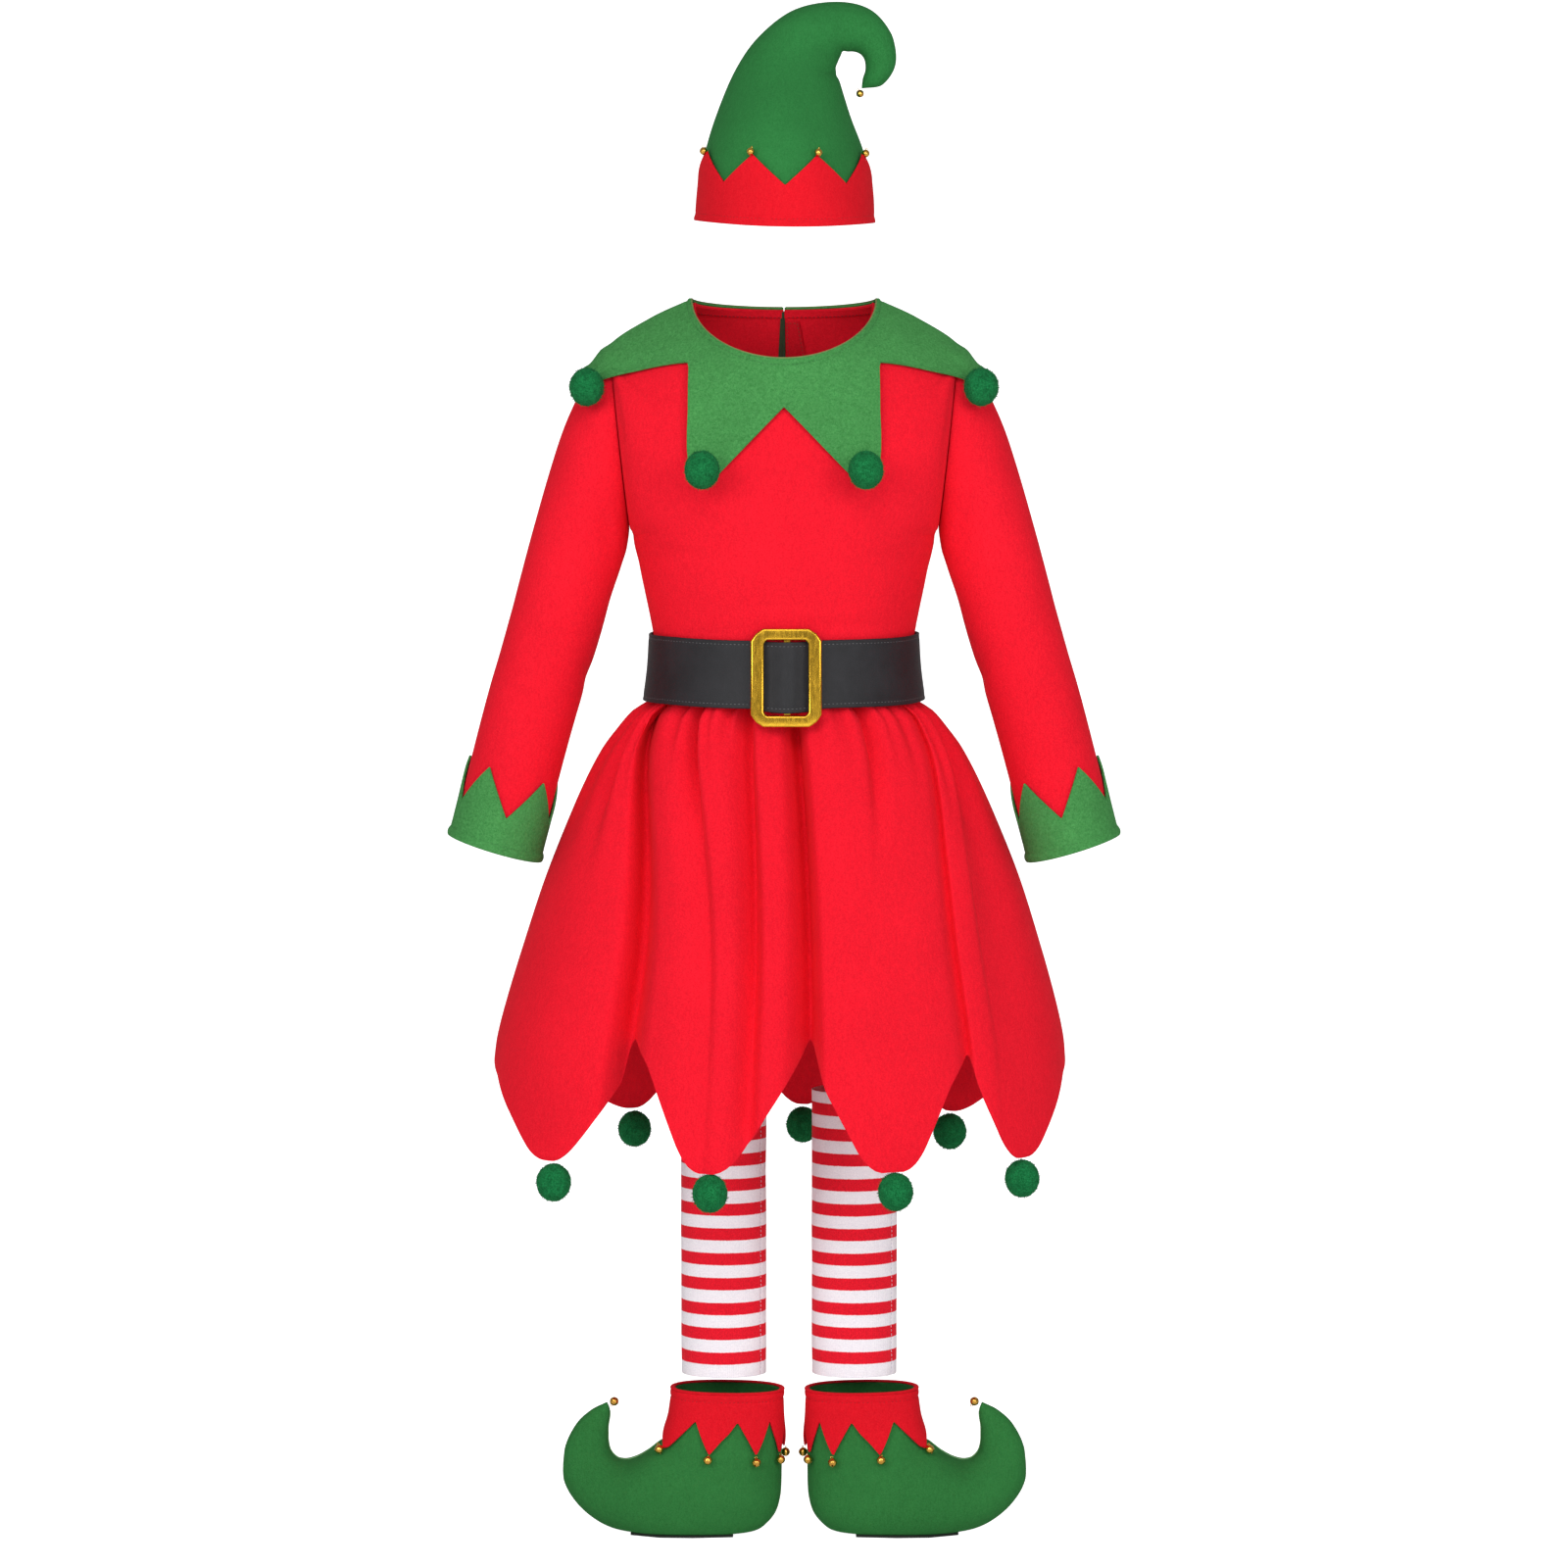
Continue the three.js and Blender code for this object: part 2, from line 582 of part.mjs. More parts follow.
// Skirt. Turns run from -97 to 263.
function hemHeight(hemTurn) {
  return valueAt(HEM_OUTLINE, 'turn', 'z', hemTurn);
}

// foldDepth: how far the folds pull the cloth in, at a turn and a share of the way down.
function foldDepth(turn, share, halfWidth) {
  return FOLD_LINES.reduce((total, line) => {
    const away = ((turn - mix(line.waistTurn, line.hemTurn, led(share))) % 360 + 540) % 360 - 180;
    const halves = radians(away) * halfWidth / mix(line.halfTop, line.halfBottom, share);
    return total + line.depth * FOLD_SHARES.reduce((sum, part) => (
      sum + part.share * Math.exp(-((halves / part.spread) ** 2))), 0);
  }, 0);
}

function led(share) {
  return 1 - (1 - share) ** FOLD_LEAN;
}

// onSkirt: the place a share of the way down the line that ends at hemTurn.
function onSkirt(hemTurn, share) {
  const z = mix(SKIRT_SEAM_Z, HEM_TIP_Z, share) + (hemHeight(hemTurn) - HEM_TIP_Z) * share ** 2;
  const drop = (SKIRT_SEAM_Z - z) / (SKIRT_SEAM_Z - HEM_TIP_Z);
  const turn = mix(waistTurn(hemTurn), hemTurn, led(share));
  const angle = radians(turn);
  const halfWidth = valueAt(SKIRT_FLARE, 'z', 'halfWidth', z);
  const point = new THREE.Vector3(
    SKIRT_SWAY * drop ** 2 + halfWidth * Math.sin(angle),
    -valueAt(SKIRT_FLARE, 'z', 'halfDepth', z) * Math.cos(angle),
    z,
  );
  const gatherGrowth = THREE.MathUtils.clamp((drop - 0.05) / 0.06, 0, 1) * Math.exp(-drop * 4.2);
  const wave = Math.sin(GATHERS * angle + 0.9 * Math.sin(3 * angle) + 0.5 * Math.sin(7 * angle));
  const out = wave * (0.4 + 4.8 * gatherGrowth);
  const folded = foldDepth(turn, share, halfWidth) * THREE.MathUtils.smoothstep(share, 0, 0.22);
  const inwards = Math.sign(Math.cos(angle)) * folded;
  return point.add(new THREE.Vector3(Math.sin(angle) * out, inwards - Math.cos(angle) * out, 0));
}

function waistTurn(hemTurn) {
  return valueAt(FOLD_LINES, 'hemTurn', 'waistTurn', hemTurn);
}

function skirtPanel(from, to) {
  const marks = HEM_OUTLINE.map((p) => p.turn).filter((t) => t >= from && t <= to);
  const gapTurn = 0.5 * SEAM_GAP / SKIRT_FLARE[0].halfWidth * 180 / Math.PI;
  const list = marks.slice(0, -1).flatMap((mark, i) => {
    const next = marks[i + 1];
    const span = Math.max(next - mark, waistTurn(next) - waistTurn(mark));
    return turns(Math.max(1, Math.round(span / SKIRT_COLUMN_TURN)), mark, next);
  });
  const columns = [from + gapTurn, ...list.slice(1), to - gapTurn];
  const grid = SKIRT_ROW_SHARES.map((share) => columns.map((turn) => onSkirt(turn, share)));
  const normals = outwardNormals(grid);
  for (const [column, turn] of [[0, from], [columns.length - 1, to]]) {
    const sideways = new THREE.Vector3(Math.cos(radians(turn)), Math.sin(radians(turn)), 0);
    normals.forEach((line) => line[column].projectOnPlane(sideways).normalize());
  }
  return shell(grid, moved(grid, normals, -KNIT_WALL));
}

addPiece('skirt_front', skirtPanel(-97, 97), COLOURS.red);
addPiece('skirt_back', skirtPanel(97, 263), COLOURS.red);

// Belt strap: it bulges over the buckle's middle bar.
function onBelt(row, turn, out) {
  const angle = radians(turn);
  const point = new THREE.Vector3(
    (row.halfWidth + out) * Math.sin(angle),
    -(row.halfDepth + out) * Math.cos(angle),
    row.z,
  );
  if (Math.cos(angle) < 0) return point;
  const aside = point.x - BELT_BULGE.x;
  const rise = (row.z - BELT_ROWS[0].z) / (BELT_ROWS[BELT_ROWS.length - 1].z - BELT_ROWS[0].z);
  const dip = mix(BELT_DIP.lower, BELT_DIP.upper, rise);
  point.z -= dip * Math.exp(-((aside / BELT_DIP.halfWidth) ** 4));
  return point.setY(point.y - BELT_BULGE.depth * Math.exp(-((aside / BELT_BULGE.halfWidth) ** 2)));
}

const beltTurns = [
  ...turns(BELT_COLUMNS.front, -BELT_COLUMNS.frontHalfTurn, BELT_COLUMNS.frontHalfTurn),
  ...turns(BELT_COLUMNS.rest, BELT_COLUMNS.frontHalfTurn, 360 - BELT_COLUMNS.frontHalfTurn),
];
const beltGrid = (out) => BELT_ROWS.map((row) => beltTurns.map((turn) => onBelt(row, turn, out)));
addPiece('belt_strap', shell(beltGrid(0), beltGrid(-LEATHER_WALL), { around: true }), COLOURS.black, 0.5);

// Buckle: a frame with cut corners and a window, and a bar behind the strap.
function cutCornerPath(Kind, width, height, corner) {
  const path = new Kind();
  const [w, h] = [width / 2, height / 2];
  const corners = [[-w + corner, -h], [w - corner, -h], [w, -h + corner], [w, h - corner],
    [w - corner, h], [-w + corner, h], [-w, h - corner], [-w, -h + corner]];
  corners.forEach(([x, y], i) => (i ? path.lineTo(x, y) : path.moveTo(x, y)));
  path.closePath();
  return path;
}

const frameShape = cutCornerPath(
  THREE.Shape,
  BUCKLE.width - 2 * BUCKLE.bevel,
  BUCKLE.height - 2 * BUCKLE.bevel,
  BUCKLE.corner,
);
frameShape.holes.push(cutCornerPath(
  THREE.Path,
  BUCKLE.window.width + 2 * BUCKLE.bevel,
  BUCKLE.window.height + 2 * BUCKLE.bevel,
  BUCKLE.window.corner,
));
const frameGeometry = new THREE.ExtrudeGeometry(frameShape, {
  depth: BUCKLE.thickness - BUCKLE.bevel, bevelEnabled: true, bevelSegments: 1,
  bevelSize: BUCKLE.bevel, bevelThickness: BUCKLE.bevel, curveSegments: 1,
});
frameGeometry.rotateX(Math.PI / 2 - BUCKLE.lean).translate(BUCKLE.x, BUCKLE.backY, BUCKLE.z);
addPiece('buckle_frame', frameGeometry, COLOURS.gold, 0.3, 1);

const barGeometry = new THREE.BoxGeometry(BUCKLE_BAR.width, BUCKLE_BAR.thickness, BUCKLE_BAR.height);
barGeometry.rotateX(-BUCKLE.lean).translate(BUCKLE_BAR.x, BUCKLE_BAR.y, BUCKLE_BAR.z);
addPiece('buckle_bar', barGeometry, COLOURS.gold, 0.3, 1);

// Pompoms.
function addPompom(name, centre) {
  const geometry = new THREE.IcosahedronGeometry(POMPOM.radius, 1).scale(1, 1, POMPOM.stretch);
  addPiece(name, geometry.translate(centre.x, centre.y, centre.z), COLOURS.pompom);
}

HEM_OUTLINE.filter((p) => p.pompom).forEach((point, i) => {
  const tip = onSkirt(point.turn, 1);
  const drop = POMPOM.radius * POMPOM.stretch + POMPOM.hangBelowTip;
  addPompom(`pompom_skirt_${i + 1}`, tip.setZ(tip.z - drop));
});

COLLAR_POMPOMS.forEach(({ x, y, z }, i) => {
  addPompom(`pompom_collar_left_${i + 1}`, new THREE.Vector3(-x, y, z));
  addPompom(`pompom_collar_right_${i + 1}`, new THREE.Vector3(x, y, z));
});

// Hat.
function onHat(place, angle, out) {
  const forwards = Math.max(0, Math.sin(radians(angle)));
  const point = onTube(hatRings, place, angle, out);
  return point.setZ(point.z - HAT_RIM_DIP * forwards ** 2 * Math.max(0, 1 - place));
}

const hatRings = HAT_RINGS.map((r) => ring(r.rightX, r.rightZ, r.leftX, r.leftZ, r.halfDepth));
const hatAngles = turns(HAT_COLUMNS);
const hatGrid = (out) => hatRings.map((_, i) => hatAngles.map((a) => onHat(i, a, out)));
const hatTip = new THREE.Vector3(HAT_TIP.x, 0, HAT_TIP.z);
const hatInnerTip = hatRings[hatRings.length - 1].middle.clone().lerp(hatTip, 0.4);
addPiece('hat_crown', shell(hatGrid(0), hatGrid(-FELT_WALL), {
  around: true, tip: { outer: hatTip, inner: hatInnerTip },
}), COLOURS.darkGreen);

// placeByRise: the place along a tube that lies a distance from its first ring, at an angle.
function placeByRise(rings, angle, rise) {
  let left = rise;
  for (let i = 0; i < rings.length - 1; i += 1) {
    const step = onTube(rings, i, angle).distanceTo(onTube(rings, i + 1, angle));
    if (left <= step) return i + left / step;
    left -= step;
  }
  return rings.length - 1;
}

const bandRise = (a) => zigzag(a, HAT_BAND.points, HAT_BAND.firstPoint, HAT_BAND.tip, HAT_BAND.valley);
const bandGrid = (out) => [0, 0.45, 1].map((share) => hatAngles.map((a) => (
  onHat(placeByRise(hatRings, a, bandRise(a) * share), a, out))));
addPiece('hat_band', shell(
  bandGrid(LYING_GAP + FELT_WALL),
  bandGrid(LYING_GAP),
  { around: true },
), COLOURS.redFelt);

function addBell(name, centre, radius) {
  const geometry = new THREE.SphereGeometry(radius, 7, 4).translate(centre.x, centre.y, centre.z);
  addPiece(name, geometry, COLOURS.gold, 0.3, 1);
}

turns(HAT_BAND.points, HAT_BAND.firstPoint, HAT_BAND.firstPoint + 360).forEach((angle, i) => {
  const place = placeByRise(hatRings, angle, HAT_BAND.tip - 1);
  const out = LYING_GAP + FELT_WALL + HAT_BAND.bellRadius + SEAM_GAP;
  addBell(`bell_hat_${i + 1}`, onTube(hatRings, place, angle, out), HAT_BAND.bellRadius);
});
addBell('bell_hat_tip', hatTip.clone().add(new THREE.Vector3(-1.5, 0, -HAT_BAND.bellRadius - SEAM_GAP - 0.6)),
  HAT_BAND.bellRadius);

// Stockings.
STOCKINGS.forEach(({ x, radius }, i) => {
  const profile = [
    [radius, STOCKING_BOTTOM],
    [radius, STOCKING_TOP],
    [radius - STOCKING_WALL, STOCKING_TOP],
    [radius - STOCKING_WALL, STOCKING_BOTTOM],
    [radius, STOCKING_BOTTOM],
  ].map(([r, z]) => new THREE.Vector2(r, z));
  const tube = new THREE.LatheGeometry(profile, STOCKING_SEGMENTS).rotateX(Math.PI / 2);
  tube.scale(1, STOCKING_FLATTENING, 1).translate(x, 0, 0);
  addPiece(`stocking_${i === 0 ? 'left' : 'right'}`, tube, COLOURS.white);
});

// Shoe covers: two sides meeting on the toe and heel seam, a sole, and a pointed cuff with bells.
function soleOutline(rings, floor) {
  const half = rings.map((_, place) => {
    const crossing = turns(60, 90, 180).map((angle) => onTube(rings, place, angle, 0, SHOE_SQUARENESS));
    return crossing.find((p) => p.z <= floor);
  }).filter(Boolean);
  return half.map((p) => [p.x, Math.max(-p.y - SOLE.inset, 2)]);
}

SHOES.forEach(({ ankleX, toeSide }) => {
  const name = toeSide < 0 ? 'left' : 'right';
  const floor = SOLE.thickness + SEAM_GAP;
  const rings = SHOE_RINGS.map((r) => ring(
    ankleX + toeSide * r.toeU, r.toeZ, ankleX + toeSide * r.heelU, r.heelZ, r.halfDepth));
  const half = (from, to, out) => rings.map((_, place) => (
    Array.from({ length: SHOE_HALF_COLUMNS + 1 }, (_, i) => {
      const point = onTube(rings, place, mix(from, to, i / SHOE_HALF_COLUMNS), out, SHOE_SQUARENESS);
      const atSeam = i === 0 || i === SHOE_HALF_COLUMNS;
      const facing = from < 90 ? -1 : 1;
      if (atSeam) point.y = facing * SEAM_GAP / 2;
      return point.setZ(Math.max(point.z, floor - Math.min(out, 0)));
    })));
  addPiece(`shoe_${name}_side_front`, shell(half(0, 180, 0), half(0, 180, -KNIT_WALL)), COLOURS.shoeGreen);
  addPiece(`shoe_${name}_side_back`, shell(half(180, 360, 0), half(180, 360, -KNIT_WALL)), COLOURS.shoeGreen);

  const outline = soleOutline(rings, floor);
  const shape = new THREE.Shape();
  outline.forEach(([x, y], i) => (i ? shape.lineTo(x, y) : shape.moveTo(x, y)));
  outline.slice().reverse().forEach(([x, y]) => shape.lineTo(x, -y));
  shape.closePath();
  const sole = new THREE.ExtrudeGeometry(shape, { depth: SOLE.thickness, bevelEnabled: false });
  addPiece(`shoe_${name}_sole`, sole, COLOURS.sole);

  const angles = SHOE_CUFF_EDGE.slice(1).flatMap(({ turn }, i) => {
    const before = SHOE_CUFF_EDGE[i].turn;
    return turns(Math.ceil((turn - before) / 16), before, turn);
  });
  const drop = (a) => valueAt(SHOE_CUFF_EDGE, 'turn', 'drop', a);
  const cuffPoint = (a, depth, out) => {
    const place = placeByRise(rings, a, depth);
    return onTube(rings, place, a, out, SHOE_SQUARENESS);
  };
  const cuffGrid = (out) => [0, 0.5, 1].map((share) => angles.map((a) => cuffPoint(a, drop(a) * share, out)));
  addPiece(`shoe_${name}_cuff`, shell(
    cuffGrid(LYING_GAP + SHOE_CUFF.wall),
    cuffGrid(LYING_GAP),
    { around: true },
  ), COLOURS.redFelt);

  const tips = SHOE_CUFF_EDGE.filter((edge) => edge.drop === SHOE_CUFF.tip);
  tips.slice(0, VISIBLE_SHOE_BELLS).forEach(({ turn }, i) => {
    const out = LYING_GAP + SHOE_CUFF.bellRadius + SEAM_GAP;
    const centre = cuffPoint(turn, SHOE_CUFF.tip + SHOE_CUFF.bellRadius + 0.6, out + 0.2);
    addBell(`bell_shoe_${name}_${i + 1}`, centre, SHOE_CUFF.bellRadius);
  });
  const toe = rings[rings.length - 1].middle.clone();
  toe.add(new THREE.Vector3(-toeSide * (SHOE_CUFF.bellRadius + 1.2), 0, 3.4));
  addBell(`bell_shoe_${name}_toe`, toe, SHOE_CUFF.bellRadius);
});

costume.position.z = -NECK_HEIGHT;

export default costume;
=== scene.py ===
"""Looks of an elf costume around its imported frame: dress with belt, hat, stockings and shoe covers.

Tables give lengths in millimetres and heights above the floor; meshes are in metres, in the frame's axes.
"""

import json
import math
import random

import bmesh
import bpy
from bpy.props import FloatProperty, FloatVectorProperty, IntProperty, PointerProperty
from mathutils import Euler, Matrix, Vector, noise
from mathutils.bvhtree import BVHTree

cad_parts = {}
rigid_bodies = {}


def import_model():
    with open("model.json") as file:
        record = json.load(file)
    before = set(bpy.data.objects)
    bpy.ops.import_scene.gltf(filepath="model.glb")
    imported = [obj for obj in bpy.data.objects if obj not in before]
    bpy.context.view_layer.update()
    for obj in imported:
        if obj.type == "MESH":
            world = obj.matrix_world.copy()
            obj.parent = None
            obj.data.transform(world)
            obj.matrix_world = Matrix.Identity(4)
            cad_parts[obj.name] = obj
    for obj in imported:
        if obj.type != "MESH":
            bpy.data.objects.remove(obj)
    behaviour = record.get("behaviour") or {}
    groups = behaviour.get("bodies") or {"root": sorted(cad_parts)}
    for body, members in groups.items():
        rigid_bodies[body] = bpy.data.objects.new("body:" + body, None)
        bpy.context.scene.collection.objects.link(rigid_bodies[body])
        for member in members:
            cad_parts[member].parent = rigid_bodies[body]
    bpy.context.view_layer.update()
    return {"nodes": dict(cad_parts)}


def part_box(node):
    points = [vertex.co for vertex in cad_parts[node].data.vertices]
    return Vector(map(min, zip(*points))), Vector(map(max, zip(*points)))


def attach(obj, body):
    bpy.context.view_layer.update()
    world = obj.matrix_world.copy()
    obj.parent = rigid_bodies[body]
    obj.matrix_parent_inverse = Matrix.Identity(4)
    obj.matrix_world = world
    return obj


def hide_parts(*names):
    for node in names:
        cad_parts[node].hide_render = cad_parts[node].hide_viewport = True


bl_info = {
    "name": "Elf costume",
    "version": (1, 0, 0),
    "blender": (4, 5, 0),
    "location": "View3D > Sidebar > Costume",
    "description": "Dresses the frame of an elf costume in cloth, felt, leatherette and metal",
    "category": "Object",
}

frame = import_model()

MM = 0.001
NECK_HEIGHT = 1013.0    # neck points above the floor; the frame's origin


def metres(point):
    """A point of the tables, in millimetres above the floor, as a place in the frame."""
    return Vector((point.x * MM, point.y * MM, (point.z - NECK_HEIGHT) * MM))


def mix(a, b, share):
    return a + (b - a) * share


def clamp(value, low=0.0, high=1.0):
    return max(low, min(high, value))


def ease(low, high, value):
    share = clamp((value - low) / (high - low))
    return share * share * (3 - 2 * share)


def bump(distance, half_width):
    """1 in the middle of a soft ridge or trough, fading to 0 at about twice its half width."""
    return math.exp(-((distance / half_width) ** 2))


class Table:
    """Rows of numbers under column names, read on smooth curves through the rows."""

    def __init__(self, names, *lines, by=None):
        self.keys = names.split()
        self.columns = {key: [line[i] for line in lines] for i, key in enumerate(self.keys)}
        self.places = self.columns[by] if by else list(range(len(lines)))
        if self.places[0] > self.places[-1]:
            self.places = self.places[::-1]
            self.columns = {key: values[::-1] for key, values in self.columns.items()}

    def __len__(self):
        return len(self.places)

    def rows(self):
        return [dict(zip(self.columns, values)) for values in zip(*self.columns.values())]

    def at(self, key, place, straight=False):
        xs, ys = self.places, self.columns[key]
        i = 0
        while i < len(xs) - 2 and place > xs[i + 1]:
            i += 1
        width = xs[i + 1] - xs[i]
        t = clamp((place - xs[i]) / width)
        if straight:
            return mix(ys[i], ys[i + 1], t)
        before, after = max(i - 1, 0), min(i + 2, len(xs) - 1)
        limit = 3 * abs(ys[i + 1] - ys[i])      # steeper ends would make the curve turn back
        start = clamp((ys[i + 1] - ys[before]) / (xs[i + 1] - xs[before]) * width, -limit, limit)
        end = clamp((ys[after] - ys[i]) / (xs[after] - xs[i]) * width, -limit, limit)
        a = 2 * t**3 - 3 * t**2 + 1
        b = t**3 - 2 * t**2 + t
        c = 3 * t**2 - 2 * t**3
        return a * ys[i] + b * start + c * ys[i + 1] + (t**3 - t**2) * end


# Forms of the garment

BODICE_ROWS = Table(
    "sideX sideZ frontY frontZ backY backZ",
    (103.6, 713.0, -81.0, 713, 78, 713),
    (106.0, 741.0, -83.4, 741, 80, 741),
    (113.8, 781.0, -89.0, 777, 84, 783),
    (124.0, 827.5, -93.0, 812, 87, 828),
    (127.5, 850.0, -93.5, 839, 88, 860),
    (132.5, 902.0, -91.5, 868, 87, 892),
    (138.0, 952.0, -87.0, 897, 83, 924),
    (140.1, 974.6, -81.0, 924, 75, 954),
    (107.0, 997.0, -75.5, 948, 64, 982),
    (72.0, 1013.0, -70.0, 969, 52, 1006),
)
ARMPIT_ROW, SHOULDER_ROW = 3, 7
ARMHOLE = {"bottomX": 125, "bottomZ": 829, "topX": 140.5, "topZ": 975, "halfDepth": 37}

SLEEVE_RINGS = Table(
    "outX outZ inX inZ halfDepth",
    (141.1, 975.0, 125.6, 828.6, 37.0),
    (153.0, 962.0, 126.4, 822.0, 38.5),
    (167.5, 936.5, 127.2, 817.0, 39.5),
    (184.0, 897.0, 128.4, 811.0, 40.0),
    (204.0, 829.0, 131.0, 803.0, 40.0),
    (225.8, 748.5, 154.6, 725.5, 38.5),
    (244.4, 684.0, 174.0, 661.0, 37.5),
    (271.2, 579.5, 201.6, 558.0, 37.5),
)
CUFF = {"points": 5, "first": -12, "valley": 29, "tip": 63, "stitch": 7.5}

HAT_RINGS = Table(
    "leftX leftZ rightX rightZ halfDepth",
    (-69.6, 1079.0, 70.6, 1077.0, 88.0),
    (-67.6, 1103.0, 69.4, 1102.0, 86.5),
    (-63.9, 1133.0, 65.0, 1132.0, 82.0),
    (-54.0, 1166.0, 54.0, 1162.0, 67.0),
    (-39.0, 1200.5, 45.5, 1189.0, 46.0),
    (-20.0, 1227.0, 42.5, 1200.0, 34.0),
    (8.0, 1248.0, 46.5, 1212.0, 26.0),
    (42.0, 1254.5, 53.5, 1214.5, 20.5),
    (70.0, 1248.0, 60.6, 1213.0, 17.5),
    (87.5, 1227.0, 64.8, 1208.0, 14.5),
    (90.0, 1204.0, 65.6, 1200.0, 12.0),
    (79.0, 1187.5, 63.5, 1193.0, 8.0),
    (63.4, 1185.0, 62.6, 1185.4, 0.4),
)
HAT_BAND = {"points": 8, "first": 22.5, "tip": 57, "valley": 33, "stitch": 6}
HAT_RIM_DIP = 3.5         # how far the rim hangs lower in front

SKIRT_SEAM_Z = 712.4
SKIRT_FLARE = Table(
    "z halfWidth halfDepth",
    (720.0, 103.0, 80.0),
    (691.0, 108.8, 86.0),
    (681.0, 122.5, 88.9),
    (665.0, 135.0, 94.5),
    (649.0, 146.0, 101.0),
    (625.0, 158.5, 111.0),
    (593.0, 172.3, 123.0),
    (545.0, 190.8, 137.5),
    (496.0, 206.6, 150.0),
    (448.0, 220.8, 161.0),
    (415.0, 228.8, 167.0),
    (391.0, 231.5, 171.0),
    (324.0, 240.0, 180.0),
    by="z",
)
SKIRT_SWAY = -7.0
HEM_TIP_Z = 328.5
HEM_SPREAD = {"valley": 0.6, "tip": 2.4}     # how far round the hem its corners are softened
# The hem's outline: four points in the front panel and three in the back.
HEM_OUTLINE = Table(
    "turn z",
    (-97.0, 405),
    (-77.0, 387),
    (-63.0, 358),
    (-53.0, 331),
    (-48.0, 328.5),
    (-44.3, 331),
    (-37.0, 366),
    (-31.6, 393),
    (-30.6, 429),
    (-26.6, 411),
    (-17.0, 327),
    (-12.5, 328.5),
    (-9.2, 327),
    (-1.0, 380),
    (5.0, 419),
    (6.4, 432),
    (9.0, 394),
    (18.2, 327),
    (23.5, 328.5),
    (27.4, 327),
    (36.0, 391),
    (41.0, 417),
    (44.0, 385),
    (51.2, 331),
    (56.0, 328.5),
    (60.2, 331),
    (67.0, 352),
    (80.0, 388),
    (97.0, 405),
    (112.0, 394),
    (138.4, 331),
    (142.0, 328.5),
    (145.6, 331),
    (158.0, 428),
    (170.9, 331),
    (174.5, 328.5),
    (178.1, 331),
    (192.0, 430),
    (206.4, 331),
    (210.0, 328.5),
    (213.6, 331),
    (240.0, 388),
    (263.0, 405),
    by="turn",
)

COLLAR_OUTLINE = Table(
    "turn x y z",
    (0, 0, -88, 933),
    (24, 40, -93, 890),
    (31, 52, -94, 877),
    (37, 64, -94, 870),
    (43, 74, -93, 873),
    (47, 78.5, -92, 886),
    (52, 79, -84, 930),
    (58, 79, -62, 975),
    (66, 96, -54, 971),
    (73, 119, -42, 960),
    (80, 143, -27, 946),
    (84, 154, -20, 943),
    (88, 159, -8, 949),
    (93, 157, 6, 955),
    (100, 146, 20, 956),
    (107, 119, 42, 962),
    (114, 96, 50, 974),
    (121, 79, 54, 980),
    (128, 79, 76, 940),
    (133, 78.5, 84, 897),
    (137, 74, 85, 883),
    (143, 64, 86, 880),
    (149, 52, 87, 887),
    (156, 40, 87, 900),
    (180, 0, 78, 945),
    by="turn",
)
COLLAR_LIFT = 2.2
COLLAR_STITCH = 5.0
COLLAR_CLOSENESS = 1.6        # how much closer its rows lie at the neck

BELT_ROWS = Table(
    "z halfWidth halfDepth",
    (690.5, 115.2, 92.2),
    (717.0, 111.8, 88.8),
    (744.8, 110.1, 87.2),
    by="z",
)
BELT_BULGE = {"x": 2.5, "depth": 4.4, "halfWidth": 10}
BELT_DIP = {"halfWidth": 23, "lower": 3.4, "upper": 1.0}    # how far it hangs inside the buckle

SHOE_RINGS = Table(
    "toeU toeZ heelU heelZ halfDepth",
    (43.6, 120.5, -43.6, 119.5, 26.0),
    (47.0, 97.0, -44.4, 92.0, 29.0),
    (51.5, 80.0, -44.6, 58.0, 32.0),
    (54.5, 77.0, -43.4, 30.0, 33.0),
    (56.0, 76.0, -35.0, 10.5, 34.0),
    (57.8, 74.6, -11.0, -5.0, 35.5),
    (61.0, 72.0, 24.0, -7.5, 36.5),
    (67.0, 67.5, 54.0, -5.5, 36.5),
    (75.0, 63.0, 80.0, 0.0, 34.0),
    (83.5, 60.8, 104.5, 8.5, 29.0),
    (91.0, 62.6, 124.3, 24.5, 23.5),
    (96.6, 68.8, 135.6, 45.0, 18.0),
    (98.6, 78.0, 134.6, 69.6, 13.5),
    (98.6, 88.0, 125.4, 89.6, 9.5),
    (97.2, 97.4, 113.0, 101.8, 5.8),
    (97.0, 103.0, 99.5, 108.8, 2.6),
)
SHOE_SQUARENESS = 2.3
SHOE_FLOOR = 2.3
SHOES = {"left": {"ankleX": -46.6, "toeSide": -1}, "right": {"ankleX": 64.0, "toeSide": 1}}
SHOE_CUFF_WALL = 1.8
SHOE_CUFF_STITCH = 6.2
SHOE_CUFF_TIP, SHOE_CUFF_VALLEY = 49.5, 22
# The cuff's lower edge, round from the toe by the front: how far it hangs down the shoe.
SHOE_CUFF_EDGE = Table(
    "turn drop",
    (-18, SHOE_CUFF_VALLEY),
    (30, SHOE_CUFF_TIP),
    (62, SHOE_CUFF_VALLEY),
    (80, SHOE_CUFF_TIP),
    (99, SHOE_CUFF_VALLEY),
    (118, SHOE_CUFF_TIP),
    (136, SHOE_CUFF_VALLEY),
    (152, SHOE_CUFF_TIP),
    (174, SHOE_CUFF_VALLEY),
    (195, SHOE_CUFF_TIP),
    (220, SHOE_CUFF_VALLEY),
    (245, SHOE_CUFF_TIP),
    (275, SHOE_CUFF_VALLEY),
    (300, SHOE_CUFF_TIP),
    (342, SHOE_CUFF_VALLEY),
    by="turn",
)

